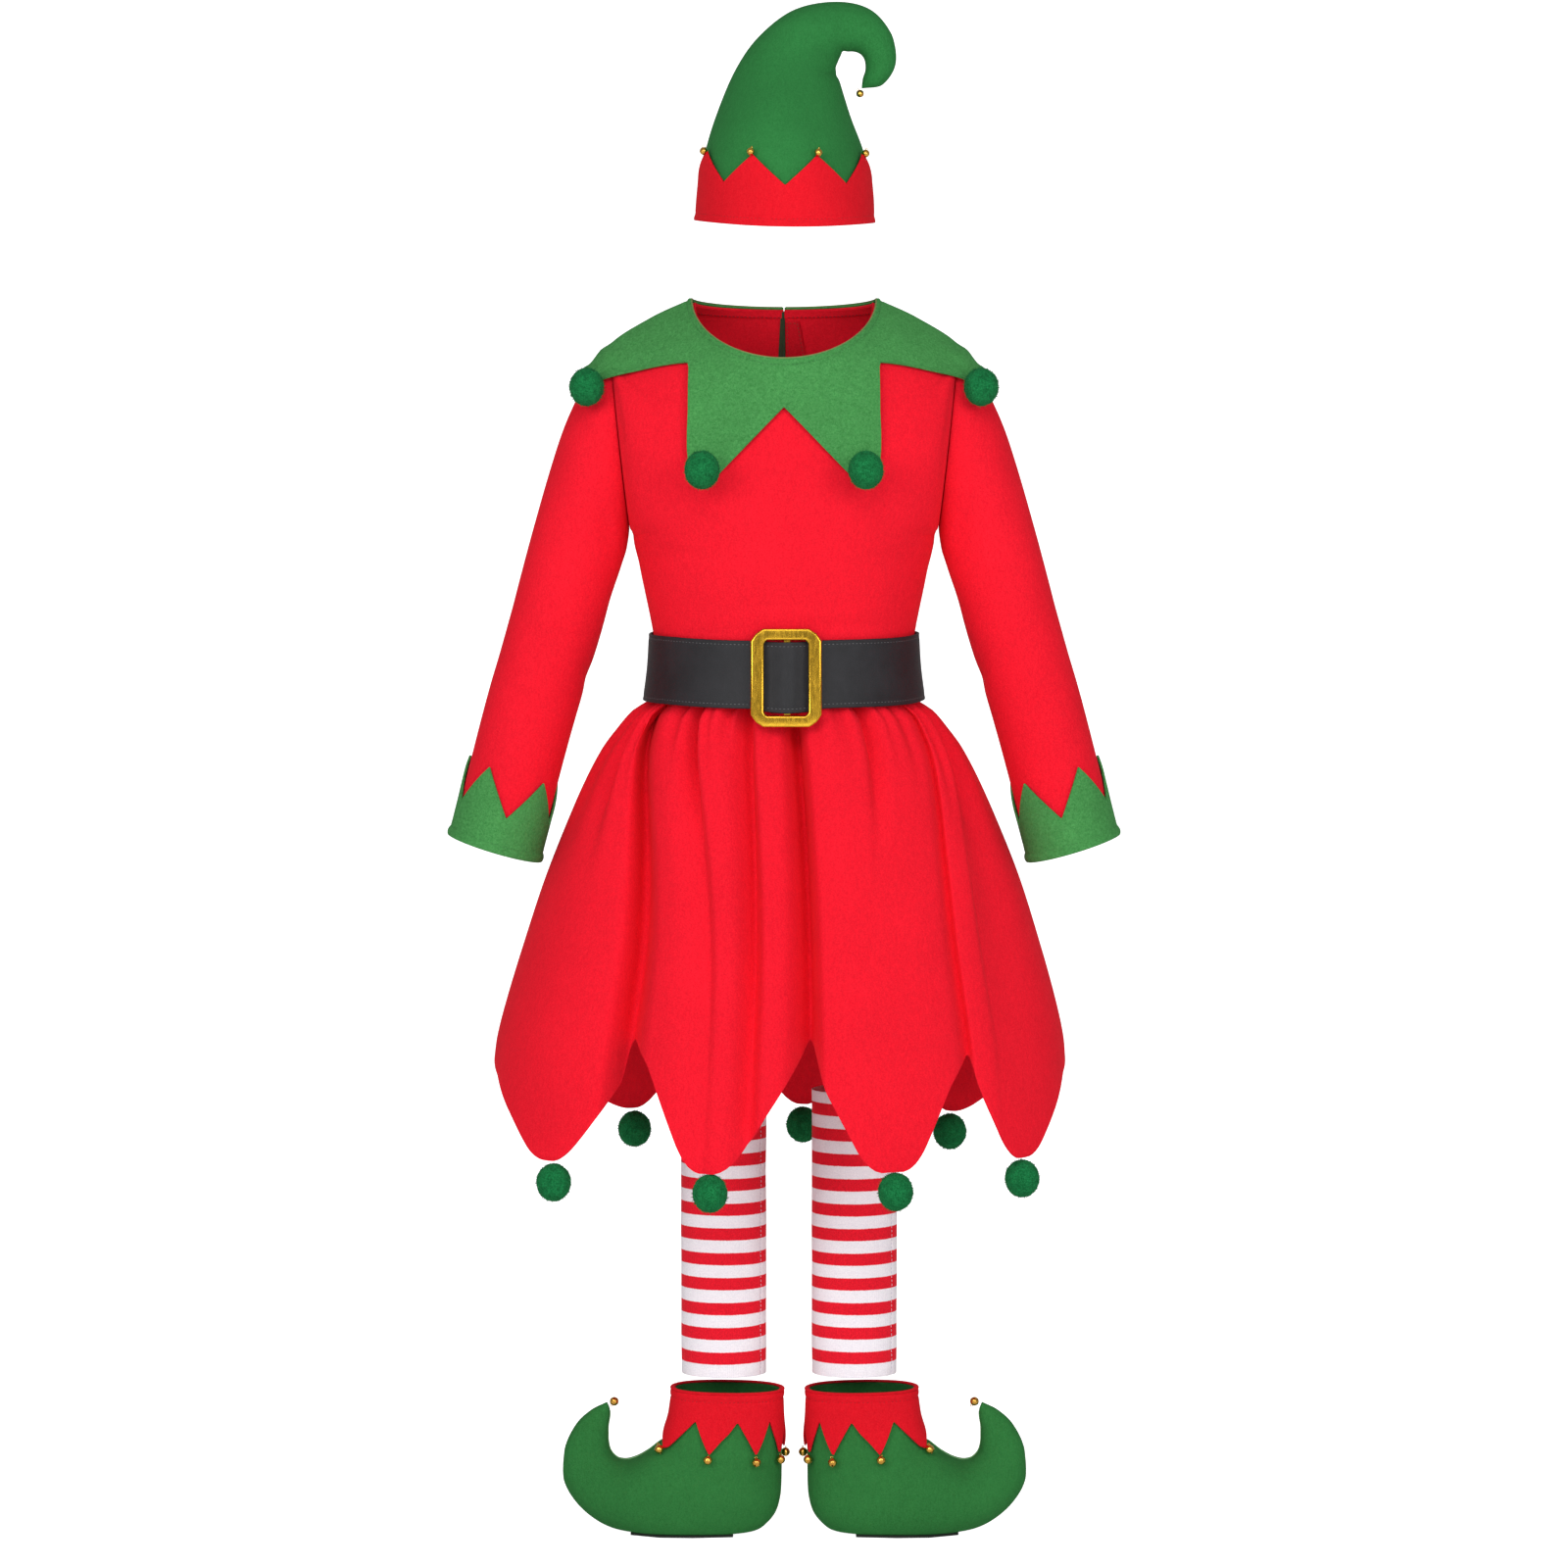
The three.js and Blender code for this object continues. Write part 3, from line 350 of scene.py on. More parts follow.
STOCKINGS = {"left": -49.6, "right": 57.8}      # places of their middles
STOCKING_RADIUS = 35.0
STOCKING_TOP, STOCKING_BOTTOM = 370.0, 134.0
STOCKING_FLATTENING = 27 / 35     # half depth to half width
STOCKING_SEAM_TURN = 62.0       # the leg seam, round from the front towards +X

LYING_GAP = 0.8         # between a piece and what it lies on
# The third wall is that of the dark sheet that paints shade into the back closure's slit.
HEM_WALL, TAPE_WALL, SLIT_SHADE_SHEET_WALL, SHOE_CUFF_FELT = 0.8, 0.9, 0.5, 1.7


def srgb(red, green, blue):
    """A colour read from a picture, 0 to 255, as the linear numbers that materials take."""
    def linear(value):
        value /= 255
        return value / 12.92 if value <= 0.04045 else ((value + 0.055) / 1.055) ** 2.4
    return (linear(red), linear(green), linear(blue))


class CostumeSizes(bpy.types.PropertyGroup):
    cloth_wall: FloatProperty(
        name="Cloth", description="Thickness of the dress cloth", default=1.5 * MM, unit="LENGTH")
    felt_wall: FloatProperty(
        name="Felt", description="Thickness of collar, cuffs and hat band", default=2.0 * MM, unit="LENGTH")
    knit_wall: FloatProperty(
        name="Stocking knit", description="Thickness of the stockings", default=1.1 * MM, unit="LENGTH")
    strap_wall: FloatProperty(
        name="Strap", description="Thickness of the belt strap", default=2.2 * MM, unit="LENGTH")
    stitch_pitch: FloatProperty(
        name="Stitch pitch", description="From one stitch to the next", default=3.4 * MM, unit="LENGTH")
    stripe_pitch: FloatProperty(
        name="Stripe pitch", description="From one red stripe to the next", default=20.5 * MM, unit="LENGTH")
    pompom_fibres: IntProperty(
        name="Pompom fibres", description="Loose yarn ends on each pompom", default=1100, min=100, max=4000)


def colour_property(label, red, green, blue):
    return FloatVectorProperty(
        name=label, description=f"Base colour of the {label.lower()}", subtype="COLOR",
        size=3, min=0.0, max=1.0, default=srgb(red, green, blue))


class CostumeColours(bpy.types.PropertyGroup):
    red_cloth: colour_property("Red dress cloth", 240, 20, 42)
    red_felt: colour_property("Red felt", 226, 16, 34)
    green_felt: colour_property("Green collar felt", 66, 142, 72)
    hat_green: colour_property("Green hat felt", 44, 122, 60)
    shoe_green: colour_property("Green shoe felt", 47, 120, 58)
    pompom: colour_property("Pompom yarn", 14, 112, 58)
    strap: colour_property("Strap leatherette", 34, 34, 37)
    gold: colour_property("Gold plating", 206, 162, 50)
    bell: colour_property("Bell plating", 226, 172, 78)
    stripe_red: colour_property("Red stripes", 236, 26, 46)
    stripe_white: colour_property("White stripes", 252, 247, 255)


# Materials

def give(node, **values):
    """Sets a node's inputs by their names, with _ for each space."""
    for name, value in values.items():
        node.inputs[name.replace("_", " ")].default_value = value


class Nodes:
    """Short hand for a material's node tree around one Principled shader."""

    def __init__(self, name, roughness=0.9, metallic=0.0):
        self.material = bpy.data.materials.new(name)
        self.material.use_nodes = True
        self.tree = self.material.node_tree
        self.shader = self.tree.nodes["Principled BSDF"]
        give(self.shader, Roughness=roughness, Metallic=metallic)
        self.place = self.tree.nodes.new("ShaderNodeTexCoord").outputs["Object"]

    def link(self, source, target):
        self.tree.links.new(source, target)

    def add(self, kind, **values):
        node = self.tree.nodes.new(kind)
        for key, value in values.items():
            setattr(node, key, value)
        return node

    def noise(self, scale, detail=3.0, roughness=0.55, stretch=None, distortion=0.0):
        node = self.add("ShaderNodeTexNoise")
        give(node, Scale=scale, Detail=detail, Roughness=roughness, Distortion=distortion)
        place = self.place
        if stretch:
            mapping = self.add("ShaderNodeMapping")
            give(mapping, Scale=stretch)
            self.link(self.place, mapping.inputs["Vector"])
            place = mapping.outputs["Vector"]
        self.link(place, node.inputs["Vector"])
        return node.outputs["Fac"]

    def ramp(self, source, low, high, start=0.3, end=0.7):
        """A colour that goes from low to high as the source goes from start to end."""
        node = self.add("ShaderNodeValToRGB")
        for stop, position, colour in zip(node.color_ramp.elements, (start, end), (low, high)):
            stop.position = position
            stop.color = (*colour, 1)
        self.link(source, node.inputs["Fac"])
        return node.outputs["Color"]

    def number(self, source, low, high, start=0.0, end=1.0):
        node = self.add("ShaderNodeMapRange")
        give(node, From_Min=start, From_Max=end, To_Min=low, To_Max=high)
        self.link(source, node.inputs["Value"])
        return node.outputs["Result"]

    def math(self, operation, first, second):
        node = self.add("ShaderNodeMath", operation=operation)
        for socket, value in zip(node.inputs, (first, second)):
            if isinstance(value, (int, float)):
                socket.default_value = value
            else:
                self.link(value, socket)
        return node.outputs["Value"]

    def blend(self, share, first, second, mode="MIX"):
        node = self.add("ShaderNodeMix", data_type="RGBA", blend_type=mode)
        sockets = (node.inputs["Factor"], node.inputs[6], node.inputs[7])
        for socket, value in zip(sockets, (share, first, second)):
            if isinstance(value, (int, float)):
                socket.default_value = value
            elif isinstance(value, tuple):
                socket.default_value = (*value, 1)
            else:
                self.link(value, socket)
        return node.outputs[2]

    def relief(self, height, distance, strength=1.0):
        node = self.add("ShaderNodeBump")
        give(node, Strength=strength, Distance=distance)
        self.link(height, node.inputs["Height"])
        self.link(node.outputs["Normal"], self.shader.inputs["Normal"])

    def colour(self, source):
        if isinstance(source, tuple):
            self.shader.inputs["Base Color"].default_value = (*source, 1)
        else:
            self.link(source, self.shader.inputs["Base Color"])

    def clouded(self, base, clouds, dark, start=0.3, end=0.7):
        """Sets a base colour, darker in patches."""
        shadow = self.ramp(clouds, (dark,) * 3, (1.0,) * 3, start, end)
        self.colour(self.blend(1.0, base, shadow, "MULTIPLY"))

    def fuzz(self, colour, weight, paler, specular, roughness=0.5):
        """The soft shine of loose fibres, in a paler tone of the colour."""
        give(self.shader, Sheen_Weight=weight, Sheen_Roughness=roughness, Specular_IOR_Level=specular,
             Sheen_Tint=(*tint(colour, WHITE, paler), 1))


WHITE = (1, 1, 1)


def shade(colour, factor):
    return tuple(clamp(value * factor) for value in colour)


def tint(colour, towards, share):
    return tuple(mix(a, b, share) for a, b in zip(colour, towards))


def brushed_cloth(name, colour, speckle=0.16, cloud=0.07, nap=0.05):
    """Brushed knit: a fine fibrous speckle, soft clouds where the nap lies another way, and sheen."""
    m = Nodes(name, roughness=0.92)
    fibres = m.noise(820, detail=4, roughness=0.7)
    streaks = m.noise(420, detail=3, roughness=0.6, stretch=(1.0, 1.0, 0.42))
    clouds = m.noise(16, detail=3, roughness=0.5)
    light = tint(shade(colour, 1 + speckle), WHITE, 0.015)
    fine = m.ramp(fibres, shade(colour, 1 - speckle), light, 0.34, 0.68)
    coarse = m.ramp(streaks, shade(colour, 1 - 0.8 * speckle), shade(colour, 1 + 0.7 * speckle))
    m.clouded(m.blend(0.45, fine, coarse), clouds, 1 - cloud)
    m.relief(m.math("ADD", m.math("MULTIPLY", fibres, 0.7), m.math("MULTIPLY", streaks, 0.5)), 0.0006, 0.55)
    m.fuzz(colour, nap, 0.25, 0.06, 0.45)
    return m.material


def matted_felt(name, colour, fleck=0.34, nap=0.06):
    """Felt: matted fibres in light and dark flecks, with short swirls pressed into the face."""
    m = Nodes(name, roughness=0.95)
    flecks = m.noise(560, detail=4, roughness=0.72, distortion=0.8)
    swirls = m.noise(150, detail=4, roughness=0.6, distortion=2.2)
    clouds = m.noise(28, detail=2)
    light = tint(shade(colour, 1 + fleck), (0.55, 0.75, 0.5), 0.08)
    fine = m.ramp(flecks, shade(colour, 1 - fleck), light, 0.36, 0.66)
    soft = m.ramp(swirls, shade(colour, 1 - 0.5 * fleck), shade(colour, 1 + 0.45 * fleck), 0.35, 0.65)
    m.clouded(m.blend(0.45, fine, soft), clouds, 0.92)
    m.relief(m.math("ADD", m.math("MULTIPLY", flecks, 0.6), m.math("MULTIPLY", swirls, 0.8)), 0.0009, 0.6)
    m.fuzz(colour, nap, 0.3, 0.08)
    return m.material


def fluffy_yarn(name, colour):
    m = Nodes(name, roughness=1.0)
    strands = m.noise(900, detail=3, roughness=0.7)
    tufts = m.noise(190, detail=2)
    fine = m.ramp(strands, shade(colour, 0.62), tint(shade(colour, 1.5), (0.3, 0.9, 0.5), 0.05), 0.32, 0.7)
    m.clouded(fine, tufts, 0.72, 0.3, 0.6)
    m.relief(m.math("ADD", strands, tufts), 0.0010, 0.7)
    m.fuzz(colour, 0.08, 0.2, 0.06)
    return m.material


def grained_leatherette(name, colour):
    """Pressed grain: small cells with fine wrinkles, satin where the strap is worn flat."""
    m = Nodes(name, roughness=0.45)
    cells = m.add("ShaderNodeTexVoronoi", feature="DISTANCE_TO_EDGE")
    give(cells, Scale=720)
    m.link(m.place, cells.inputs["Vector"])
    grain = m.number(cells.outputs["Distance"], 0.0, 1.0, 0.0, 0.28)
    wrinkles = m.noise(230, detail=4, roughness=0.6)
    scuffs = m.noise(34, detail=4, roughness=0.65)
    m.colour(m.ramp(scuffs, shade(colour, 0.75), shade(colour, 1.35), 0.3, 0.75))
    m.link(m.number(scuffs, 0.46, 0.62), m.shader.inputs["Roughness"])
    m.relief(m.math("ADD", m.math("MULTIPLY", grain, 0.55), wrinkles), 0.00022, 0.55)
    give(m.shader, Specular_IOR_Level=0.3)
    return m.material


def plated_metal(name, colour, roughness=0.2, scratches=0.10, dent=0.00012):
    """Bright plating with fine scratches and faint dents from tumbling."""
    m = Nodes(name, roughness=roughness, metallic=1.0)
    dents = m.noise(170, detail=2)
    lines = m.noise(620, detail=3, roughness=0.7, stretch=(1.0, 1.0, 0.12))
    tarnish = m.noise(60, detail=4, roughness=0.6)
    m.colour(m.ramp(tarnish, shade(colour, 0.85), shade(colour, 1.05), 0.28, 0.6))
    dulled = m.number(lines, roughness - scratches / 2, roughness + scratches, 0.3, 0.7)
    m.link(dulled, m.shader.inputs["Roughness"])
    m.relief(m.math("ADD", dents, m.math("MULTIPLY", lines, 0.25)), dent, 0.6)
    return m.material


def striped_knit(name, red, white, pitch, first_red, bare_end):
    """Fine ribbed knit in even red and white stripes with ragged, gently wavy edges."""
    m = Nodes(name, roughness=0.85)
    split = m.add("ShaderNodeSeparateXYZ")
    m.link(m.place, split.inputs["Vector"])
    ragged = m.number(m.noise(700, detail=2), -0.35 * MM, 0.35 * MM)
    sag = m.number(m.noise(9, detail=1), -1.1 * MM, 1.1 * MM)
    height = m.math("ADD", split.outputs["Z"], m.math("ADD", ragged, sag))
    phase = m.math("FRACT", m.math("DIVIDE", m.math("SUBTRACT", height, first_red), pitch), 0)
    is_red = m.number(m.math("ABSOLUTE", m.math("SUBTRACT", phase, 0.5), 0), 1.0, 0.0, 0.232, 0.262)
    waves = {}
    for way, scale, distortion in (("X", 210, 0.6), ("Z", 240, 0.9)):
        waves[way] = m.add("ShaderNodeTexWave", wave_type="BANDS", bands_direction=way)
        give(waves[way], Scale=scale, Distortion=distortion)
        m.link(m.place, waves[way].inputs["Vector"])
    fuzz = m.noise(900, detail=3)
    reds = m.ramp(fuzz, shade(red, 0.82), shade(red, 1.12))
    whites = m.ramp(fuzz, shade(white, 0.90), shade(white, 1.03))
    above_end = m.number(split.outputs["Z"], 0.0, 1.0, bare_end, bare_end + 0.3 * MM)
    m.colour(m.blend(m.math("MULTIPLY", is_red, above_end), whites, reds))
    knit = m.math("ADD", waves["X"].outputs["Fac"], m.math("MULTIPLY", waves["Z"].outputs["Fac"], 0.7))
    m.relief(m.math("ADD", knit, fuzz), 0.00028, 0.5)
    give(m.shader, Sheen_Weight=0.05, Specular_IOR_Level=0.1)
    return m.material


def plain_finish(name, colour, roughness=0.8, grain=400, depth=0.0002):
    m = Nodes(name, roughness=roughness)
    fine = m.noise(grain, detail=3)
    m.colour(m.ramp(fine, shade(colour, 0.84), shade(colour, 1.12)))
    m.relief(fine, depth, 0.5)
    return m.material


# Threads, narrow edges and the painted shade of the back closure's slit, by their colours as seen in a
# picture.
PLAIN_COLOURS = {
    "red_thread": (150, 4, 14), "dark_thread": (104, 0, 8), "green_thread": (44, 104, 50),
    "grey_thread": (104, 104, 106), "white_thread": (222, 214, 232), "edge_binding": (120, 134, 78),
    # The dark olive at the end of the next line paints shade into the back closure's slit, and also colours
    # the closure tape's threads.
    "pale_seam": (112, 170, 110), "slit_shade_and_tape_thread": (48, 66, 40),
}
STRIPES_START = 140.2       # the lowest red stripe's lower side
BARE_END = 1.8              # how much of it the turned hem hides


def finish(kind):
    """A named finish of the costume, made the first time that it is asked for."""
    name = f"{kind}_finish"     # the frame's own materials have the plain names
    if name in bpy.data.materials:
        return bpy.data.materials[name]
    if kind in PLAIN_COLOURS:
        return plain_finish(name, srgb(*PLAIN_COLOURS[kind]))
    colours, sizes = bpy.context.scene.costume_colours, bpy.context.scene.costume_sizes
    start = (STRIPES_START - NECK_HEIGHT) * MM
    makers = {
        "red_cloth": lambda: brushed_cloth(name, tuple(colours.red_cloth)),
        "red_felt": lambda: brushed_cloth(name, tuple(colours.red_felt), speckle=0.12),
        "green_felt": lambda: matted_felt(name, tuple(colours.green_felt)),
        "hat_felt": lambda: brushed_cloth(name, tuple(colours.hat_green), speckle=0.22, cloud=0.12),
        "shoe_felt": lambda: brushed_cloth(name, tuple(colours.shoe_green), speckle=0.24, cloud=0.12),
        "pompom_yarn": lambda: fluffy_yarn(name, tuple(colours.pompom)),
        "leatherette": lambda: grained_leatherette(name, tuple(colours.strap)),
        "gold_metal": lambda: plated_metal(name, tuple(colours.gold)),
        "bell_metal": lambda: plated_metal(name, tuple(colours.bell), roughness=0.16),
        "striped_knit": lambda: striped_knit(
            name, tuple(colours.stripe_red), tuple(colours.stripe_white), sizes.stripe_pitch, start,
            start + BARE_END * MM),
        "sole_sheet": lambda: plain_finish(name, srgb(30, 40, 32), roughness=0.7),
        "closure_tape": lambda: brushed_cloth(name, shade(tuple(colours.red_cloth), 0.8)),
    }
    return makers[kind]()


# Cloth forms and pieces

class Form:
    """A cloth face: at(u, v) is a point in millimetres, with u and v from 0 to 1."""

    STEP = 0.002

    def __init__(self, at, around=False):
        self.at = at
        self.around = around
        self.sign = 1.0
        samples = [(u / 8 + 0.06, v / 8 + 0.06) for u in range(8) for v in range(8)]
        middle = sum((at(u, v) for u, v in samples), Vector()) / len(samples)
        facing = sum(self.normal(u, v).dot(at(u, v) - middle) for u, v in samples)
        self.sign = 1.0 if facing > 0 else -1.0

    def normal(self, u, v):
        step = self.STEP
        low_u, high_u = (u - step, u + step) if self.around else (max(u - step, 0), min(u + step, 1))
        low_v, high_v = max(v - step, 0), min(v + step, 1)
        across = self.at(high_u, v) - self.at(low_u, v)
        along = self.at(u, high_v) - self.at(u, low_v)
        direction = across.cross(along)
        if direction.length < 1e-9:
            direction = self.at(u, clamp(v - 0.01)) - self.at(u, clamp(v + 0.01))
        return direction.normalized() * self.sign

    def out(self, u, v, distance):
        return self.at(u, v) + self.normal(u, v) * distance

    def lying(self, gap):
        """The form of a piece that lies on this one."""
        return Form(lambda u, v: self.out(u, v, gap), self.around)


def deselect():
    if bpy.context.object and bpy.context.object.mode != "OBJECT":
        bpy.ops.object.mode_set(mode="OBJECT")
    bpy.ops.object.select_all(action="DESELECT")


def select_only(piece, *others):
    deselect()
    for part in (piece, *others):
        part.select_set(True)
    bpy.context.view_layer.objects.active = piece


def coat(piece, material):
    piece.data.materials.clear()
    piece.data.materials.append(finish(material))
    return piece


def settle(piece, name, material):
    """Names a piece, gives it its finish and puts its place into its mesh."""
    piece.name = name
    piece.data.name = name
    coat(piece, material)
    piece.data.transform(piece.matrix_world)
    piece.matrix_world = Matrix.Identity(4)
    return piece


def apply_modifiers(piece):
    select_only(piece)
    for modifier in list(piece.modifiers):
        bpy.ops.object.modifier_apply(modifier=modifier.name)


def smooth_by_angle(piece, degrees=48):
    select_only(piece)
    bpy.ops.object.shade_smooth_by_angle(angle=math.radians(degrees))


def mesh_piece(name, points, faces):
    """An object from points in metres and closed faces, turned outwards."""
    data = bpy.data.meshes.new(name)
    data.from_pydata(points, [], faces)
    piece = bpy.data.objects.new(name, data)
    bpy.context.scene.collection.objects.link(piece)
    mesh = bmesh.new()
    mesh.from_mesh(data)
    bmesh.ops.recalc_face_normals(mesh, faces=mesh.faces)
    mesh.to_mesh(data)
    mesh.free()
    return piece


def sew(piece, nodes=(), flat=None, area=None, with_pieces=()):
    """Tells the frame what a piece and its trim ride on and hides the frame parts that they stand for; flat
    and area, the cut of cloth, are not used.
    """
    for part in (piece, *with_pieces):
        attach(part, "root")
    if nodes:
        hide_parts(*nodes)
    return piece


def cloth_piece(name, form, columns, rows, wall, material, round_rim=True):
    """A grid laid on a form and thickened inwards, with rounded cut edges."""
    deselect()
    bpy.ops.mesh.primitive_grid_add(x_subdivisions=columns, y_subdivisions=rows, size=1)
    piece = bpy.context.object
    for vertex in piece.data.vertices:
        vertex.co = metres(form.at(clamp(vertex.co.x + 0.5), clamp(vertex.co.y + 0.5)))
    mesh = bmesh.new()
    mesh.from_mesh(piece.data)
    bmesh.ops.remove_doubles(mesh, verts=mesh.verts, dist=0.02 * MM)
    mesh.faces.ensure_lookup_table()
    middle_face = mesh.faces[len(mesh.faces) // 2 + columns // 3]
    mesh.normal_update()
    nearest = min(
        ((u / 24, v / 24) for u in range(25) for v in range(25)),
        key=lambda place: (metres(form.at(*place)) - middle_face.calc_center_median()).length)
    if middle_face.normal.dot(form.normal(*nearest)) < 0:
        bmesh.ops.reverse_faces(mesh, faces=mesh.faces)
    mesh.to_mesh(piece.data)
    mesh.free()
    solidify = piece.modifiers.new("Wall", "SOLIDIFY")
    solidify.thickness = wall
    solidify.offset = -1
    if round_rim:
        bevel = piece.modifiers.new("Cut edge", "BEVEL")
        bevel.width = wall * 0.32
        bevel.segments = 2
        bevel.limit_method = "ANGLE"
        bevel.angle_limit = math.radians(66)
    apply_modifiers(piece)
    settle(piece, name, material)
    smooth_by_angle(piece)
    return piece


# A stitch's four rings: place along it, thickness and sinking of its ends, as shares of its half sizes.
STITCH_RINGS = ((-1.0, 0.25, -0.5), (-0.6, 1.0, 0.0), (0.6, 1.0, 0.0), (1.0, 0.25, -0.5))


def stitches(name, form, path, material, lift=0.25, length=0.62, thick=0.42):
    """Short thread dashes along a path of (u, v) places on a form, joined in one mesh."""
    pitch = bpy.context.scene.costume_sizes.stitch_pitch / MM
    places = [form.at(u, v) for u, v in path]
    total = sum((b - a).length for a, b in zip(places, places[1:]))
    count = max(2, int(total / pitch))
    points, faces = [], []
    walked, index = 0.0, 0
    for number in range(count):
        target = (number + 0.5) * total / count
        while index < len(places) - 2 and walked + (places[index + 1] - places[index]).length < target:
            walked += (places[index + 1] - places[index]).length
            index += 1
        step = places[index + 1] - places[index]
        share = clamp((target - walked) / max(step.length, 1e-6))
        u, v = (mix(path[index][k], path[index + 1][k], share) for k in (0, 1))
        normal = form.normal(u, v)
        along = step.normalized()
        side = along.cross(normal).normalized()
        centre = form.at(u, v) + normal * lift
        half, width = pitch * length / 2, thick / 2
        base = len(points)
        for forward, girth, sink in STITCH_RINGS:
            middle = centre + along * half * forward + normal * sink * width * 2
            for corner in range(4):
                turn = math.pi / 4 + corner * math.pi / 2
                points.append(metres(
                    middle + side * math.cos(turn) * width * girth + normal * math.sin(turn) * width * girth))
        for ring in range(3):
            for corner in range(4):
                a = base + ring * 4 + corner
                b = base + ring * 4 + (corner + 1) % 4
                faces.append((a, a + 4, b + 4, b))
        faces.append(tuple(base + corner for corner in range(4)))
        faces.append(tuple(base + 12 + corner for corner in reversed(range(4))))
    return settle(mesh_piece(name, points, faces), name, material)


def cord_strip(name, points, across, lift, material, sides=6):
    """A fine closed strip along points, half as high as it is wide: an edging or a seam ridge."""
    vertices, faces = [], []
    closed = (points[0][0] - points[-1][0]).length < 1e-3
    ring_points = points[:-1] if closed else points
    count = len(ring_points)
    for i, (place, normal) in enumerate(ring_points):
        before = ring_points[i - 1] if (closed or i) else ring_points[i]
        after = ring_points[(i + 1) % count] if (closed or i < count - 1) else ring_points[i]
        along = (after[0] - before[0]).normalized()
        side = along.cross(normal).normalized()
        for corner in range(sides):
            turn = 2 * math.pi * corner / sides
            vertices.append(metres(
                place + side * math.cos(turn) * across / 2 + normal * (lift + math.sin(turn) * across / 4)))
    spans = count if closed else count - 1
    for i in range(spans):
        j = (i + 1) % count
        for corner in range(sides):
            nxt = (corner + 1) % sides
            faces.append((i * sides + corner, j * sides + corner, j * sides + nxt, i * sides + nxt))
    if not closed:
        faces.append(tuple(range(sides)))
        faces.append(tuple((count - 1) * sides + corner for corner in reversed(range(sides))))
    piece = settle(mesh_piece(name, vertices, faces), name, material)
    smooth_by_angle(piece, 80)
    return piece


def shares(count, start=0.0, end=1.0):
    return [mix(start, end, i / (count - 1)) for i in range(count)]


def zigzag(turn, points, first, tip, valley):
    period = 360 / points
    phase = ((turn - first) % period) / period
    return mix(tip, valley, 1 - abs(2 * phase - 1))


def tube_form(table, keys, squareness=2.0, floor=None):
    """The face of a tube through a table of rings: u goes round from the edge point by the front."""
    edge_x, edge_z, far_x, far_z = keys
    last = len(table) - 1

    def at(turn, place, out=0.0):
        ax, az = table.at(edge_x, place), table.at(edge_z, place)
        bx, bz = table.at(far_x, place), table.at(far_z, place)
        half_depth = table.at("halfDepth", place) + out
        middle = Vector(((ax + bx) / 2, 0, (az + bz) / 2))
        across = Vector(((ax - bx) / 2, 0, (az - bz) / 2))
        half_width = across.length + out
        cosine, sine = math.cos(math.radians(turn)), math.sin(math.radians(turn))
        power = 2 / squareness
        sideways = math.copysign(abs(cosine) ** power, cosine) * half_width
        forwards = math.copysign(abs(sine) ** power, sine) * half_depth
        point = middle + across.normalized() * sideways
        point.y = -forwards
        if floor is not None and point.z < floor + 4:
            lack = (floor + 4 - point.z) / 8
            point.z = floor + 4 - 4 * math.tanh(lack * 2)
        return point

    return at, last


def crease_depth(table, turn, place):
    """The dents of a crease table at a place on a tube."""
    dip = 0.0
    for row in table.rows():
        away = (turn - row["turn"] + 180) % 360 - 180
        du = away / row["halfTurn"]
        dv = (place - row["place"] - away / 90 * row.get("twist", 0) * 0.03) / row["halfPlace"]
        if abs(du) < 3 and abs(dv) < 3:
            dip += row["depth"] * math.exp(-du * du - dv * dv)
    return dip


def place_by_rise(at, last, turn, rise):
    """The place along a tube that lies a distance from its first ring."""
    steps = 6
    left = rise
    here = at(turn, 0)
    for i in range(last * steps):
        there = at(turn, (i + 1) / steps)
        length = (there - here).length
        if left <= length:
            return (i + left / length) / steps
        left -= length
        here = there
    return last


# Dress

def armhole_point(turn):
    share = (1 - math.cos(math.radians(turn))) / 2
    return Vector((
        mix(ARMHOLE["bottomX"], ARMHOLE["topX"], share),
        ARMHOLE["halfDepth"] * math.sin(math.radians(turn)),
        mix(ARMHOLE["bottomZ"], ARMHOLE["topZ"], share),
    ))


# Soft creases of the bodice: place on the panel, half sizes, depth (below 0 a trough) and lean.
BODICE_CREASES = Table(
    "u v halfU halfV depth lean",
    (0.10, 0.36, 0.10, 0.022, -2.2, 0.9),
    (0.90, 0.36, 0.10, 0.022, -2.4, -0.9),
    (0.16, 0.30, 0.13, 0.020, -1.6, 0.6),
    (0.84, 0.29, 0.12, 0.020, -1.5, -0.7),
    (0.30, 0.14, 0.10, 0.014, -1.2, 0.2),
    (0.66, 0.16, 0.13, 0.015, -1.3, -0.2),
    (0.50, 0.21, 0.16, 0.018, -0.9, 0.1),
    (0.07, 0.60, 0.03, 0.10, -1.4, 0.0),
    (0.93, 0.60, 0.03, 0.10, -1.4, 0.0),
)


def bodice_crease_depth(u, v):
    total = 0.0
    for row in BODICE_CREASES.rows():
        du = (u - row["u"]) / row["halfU"]
        dv = (v - row["v"] - row["lean"] * (u - row["u"]) * 0.3) / row["halfV"]
        if abs(du) < 3 and abs(dv) < 3:
            total += row["depth"] * math.exp(-du * du - dv * dv)
    return total


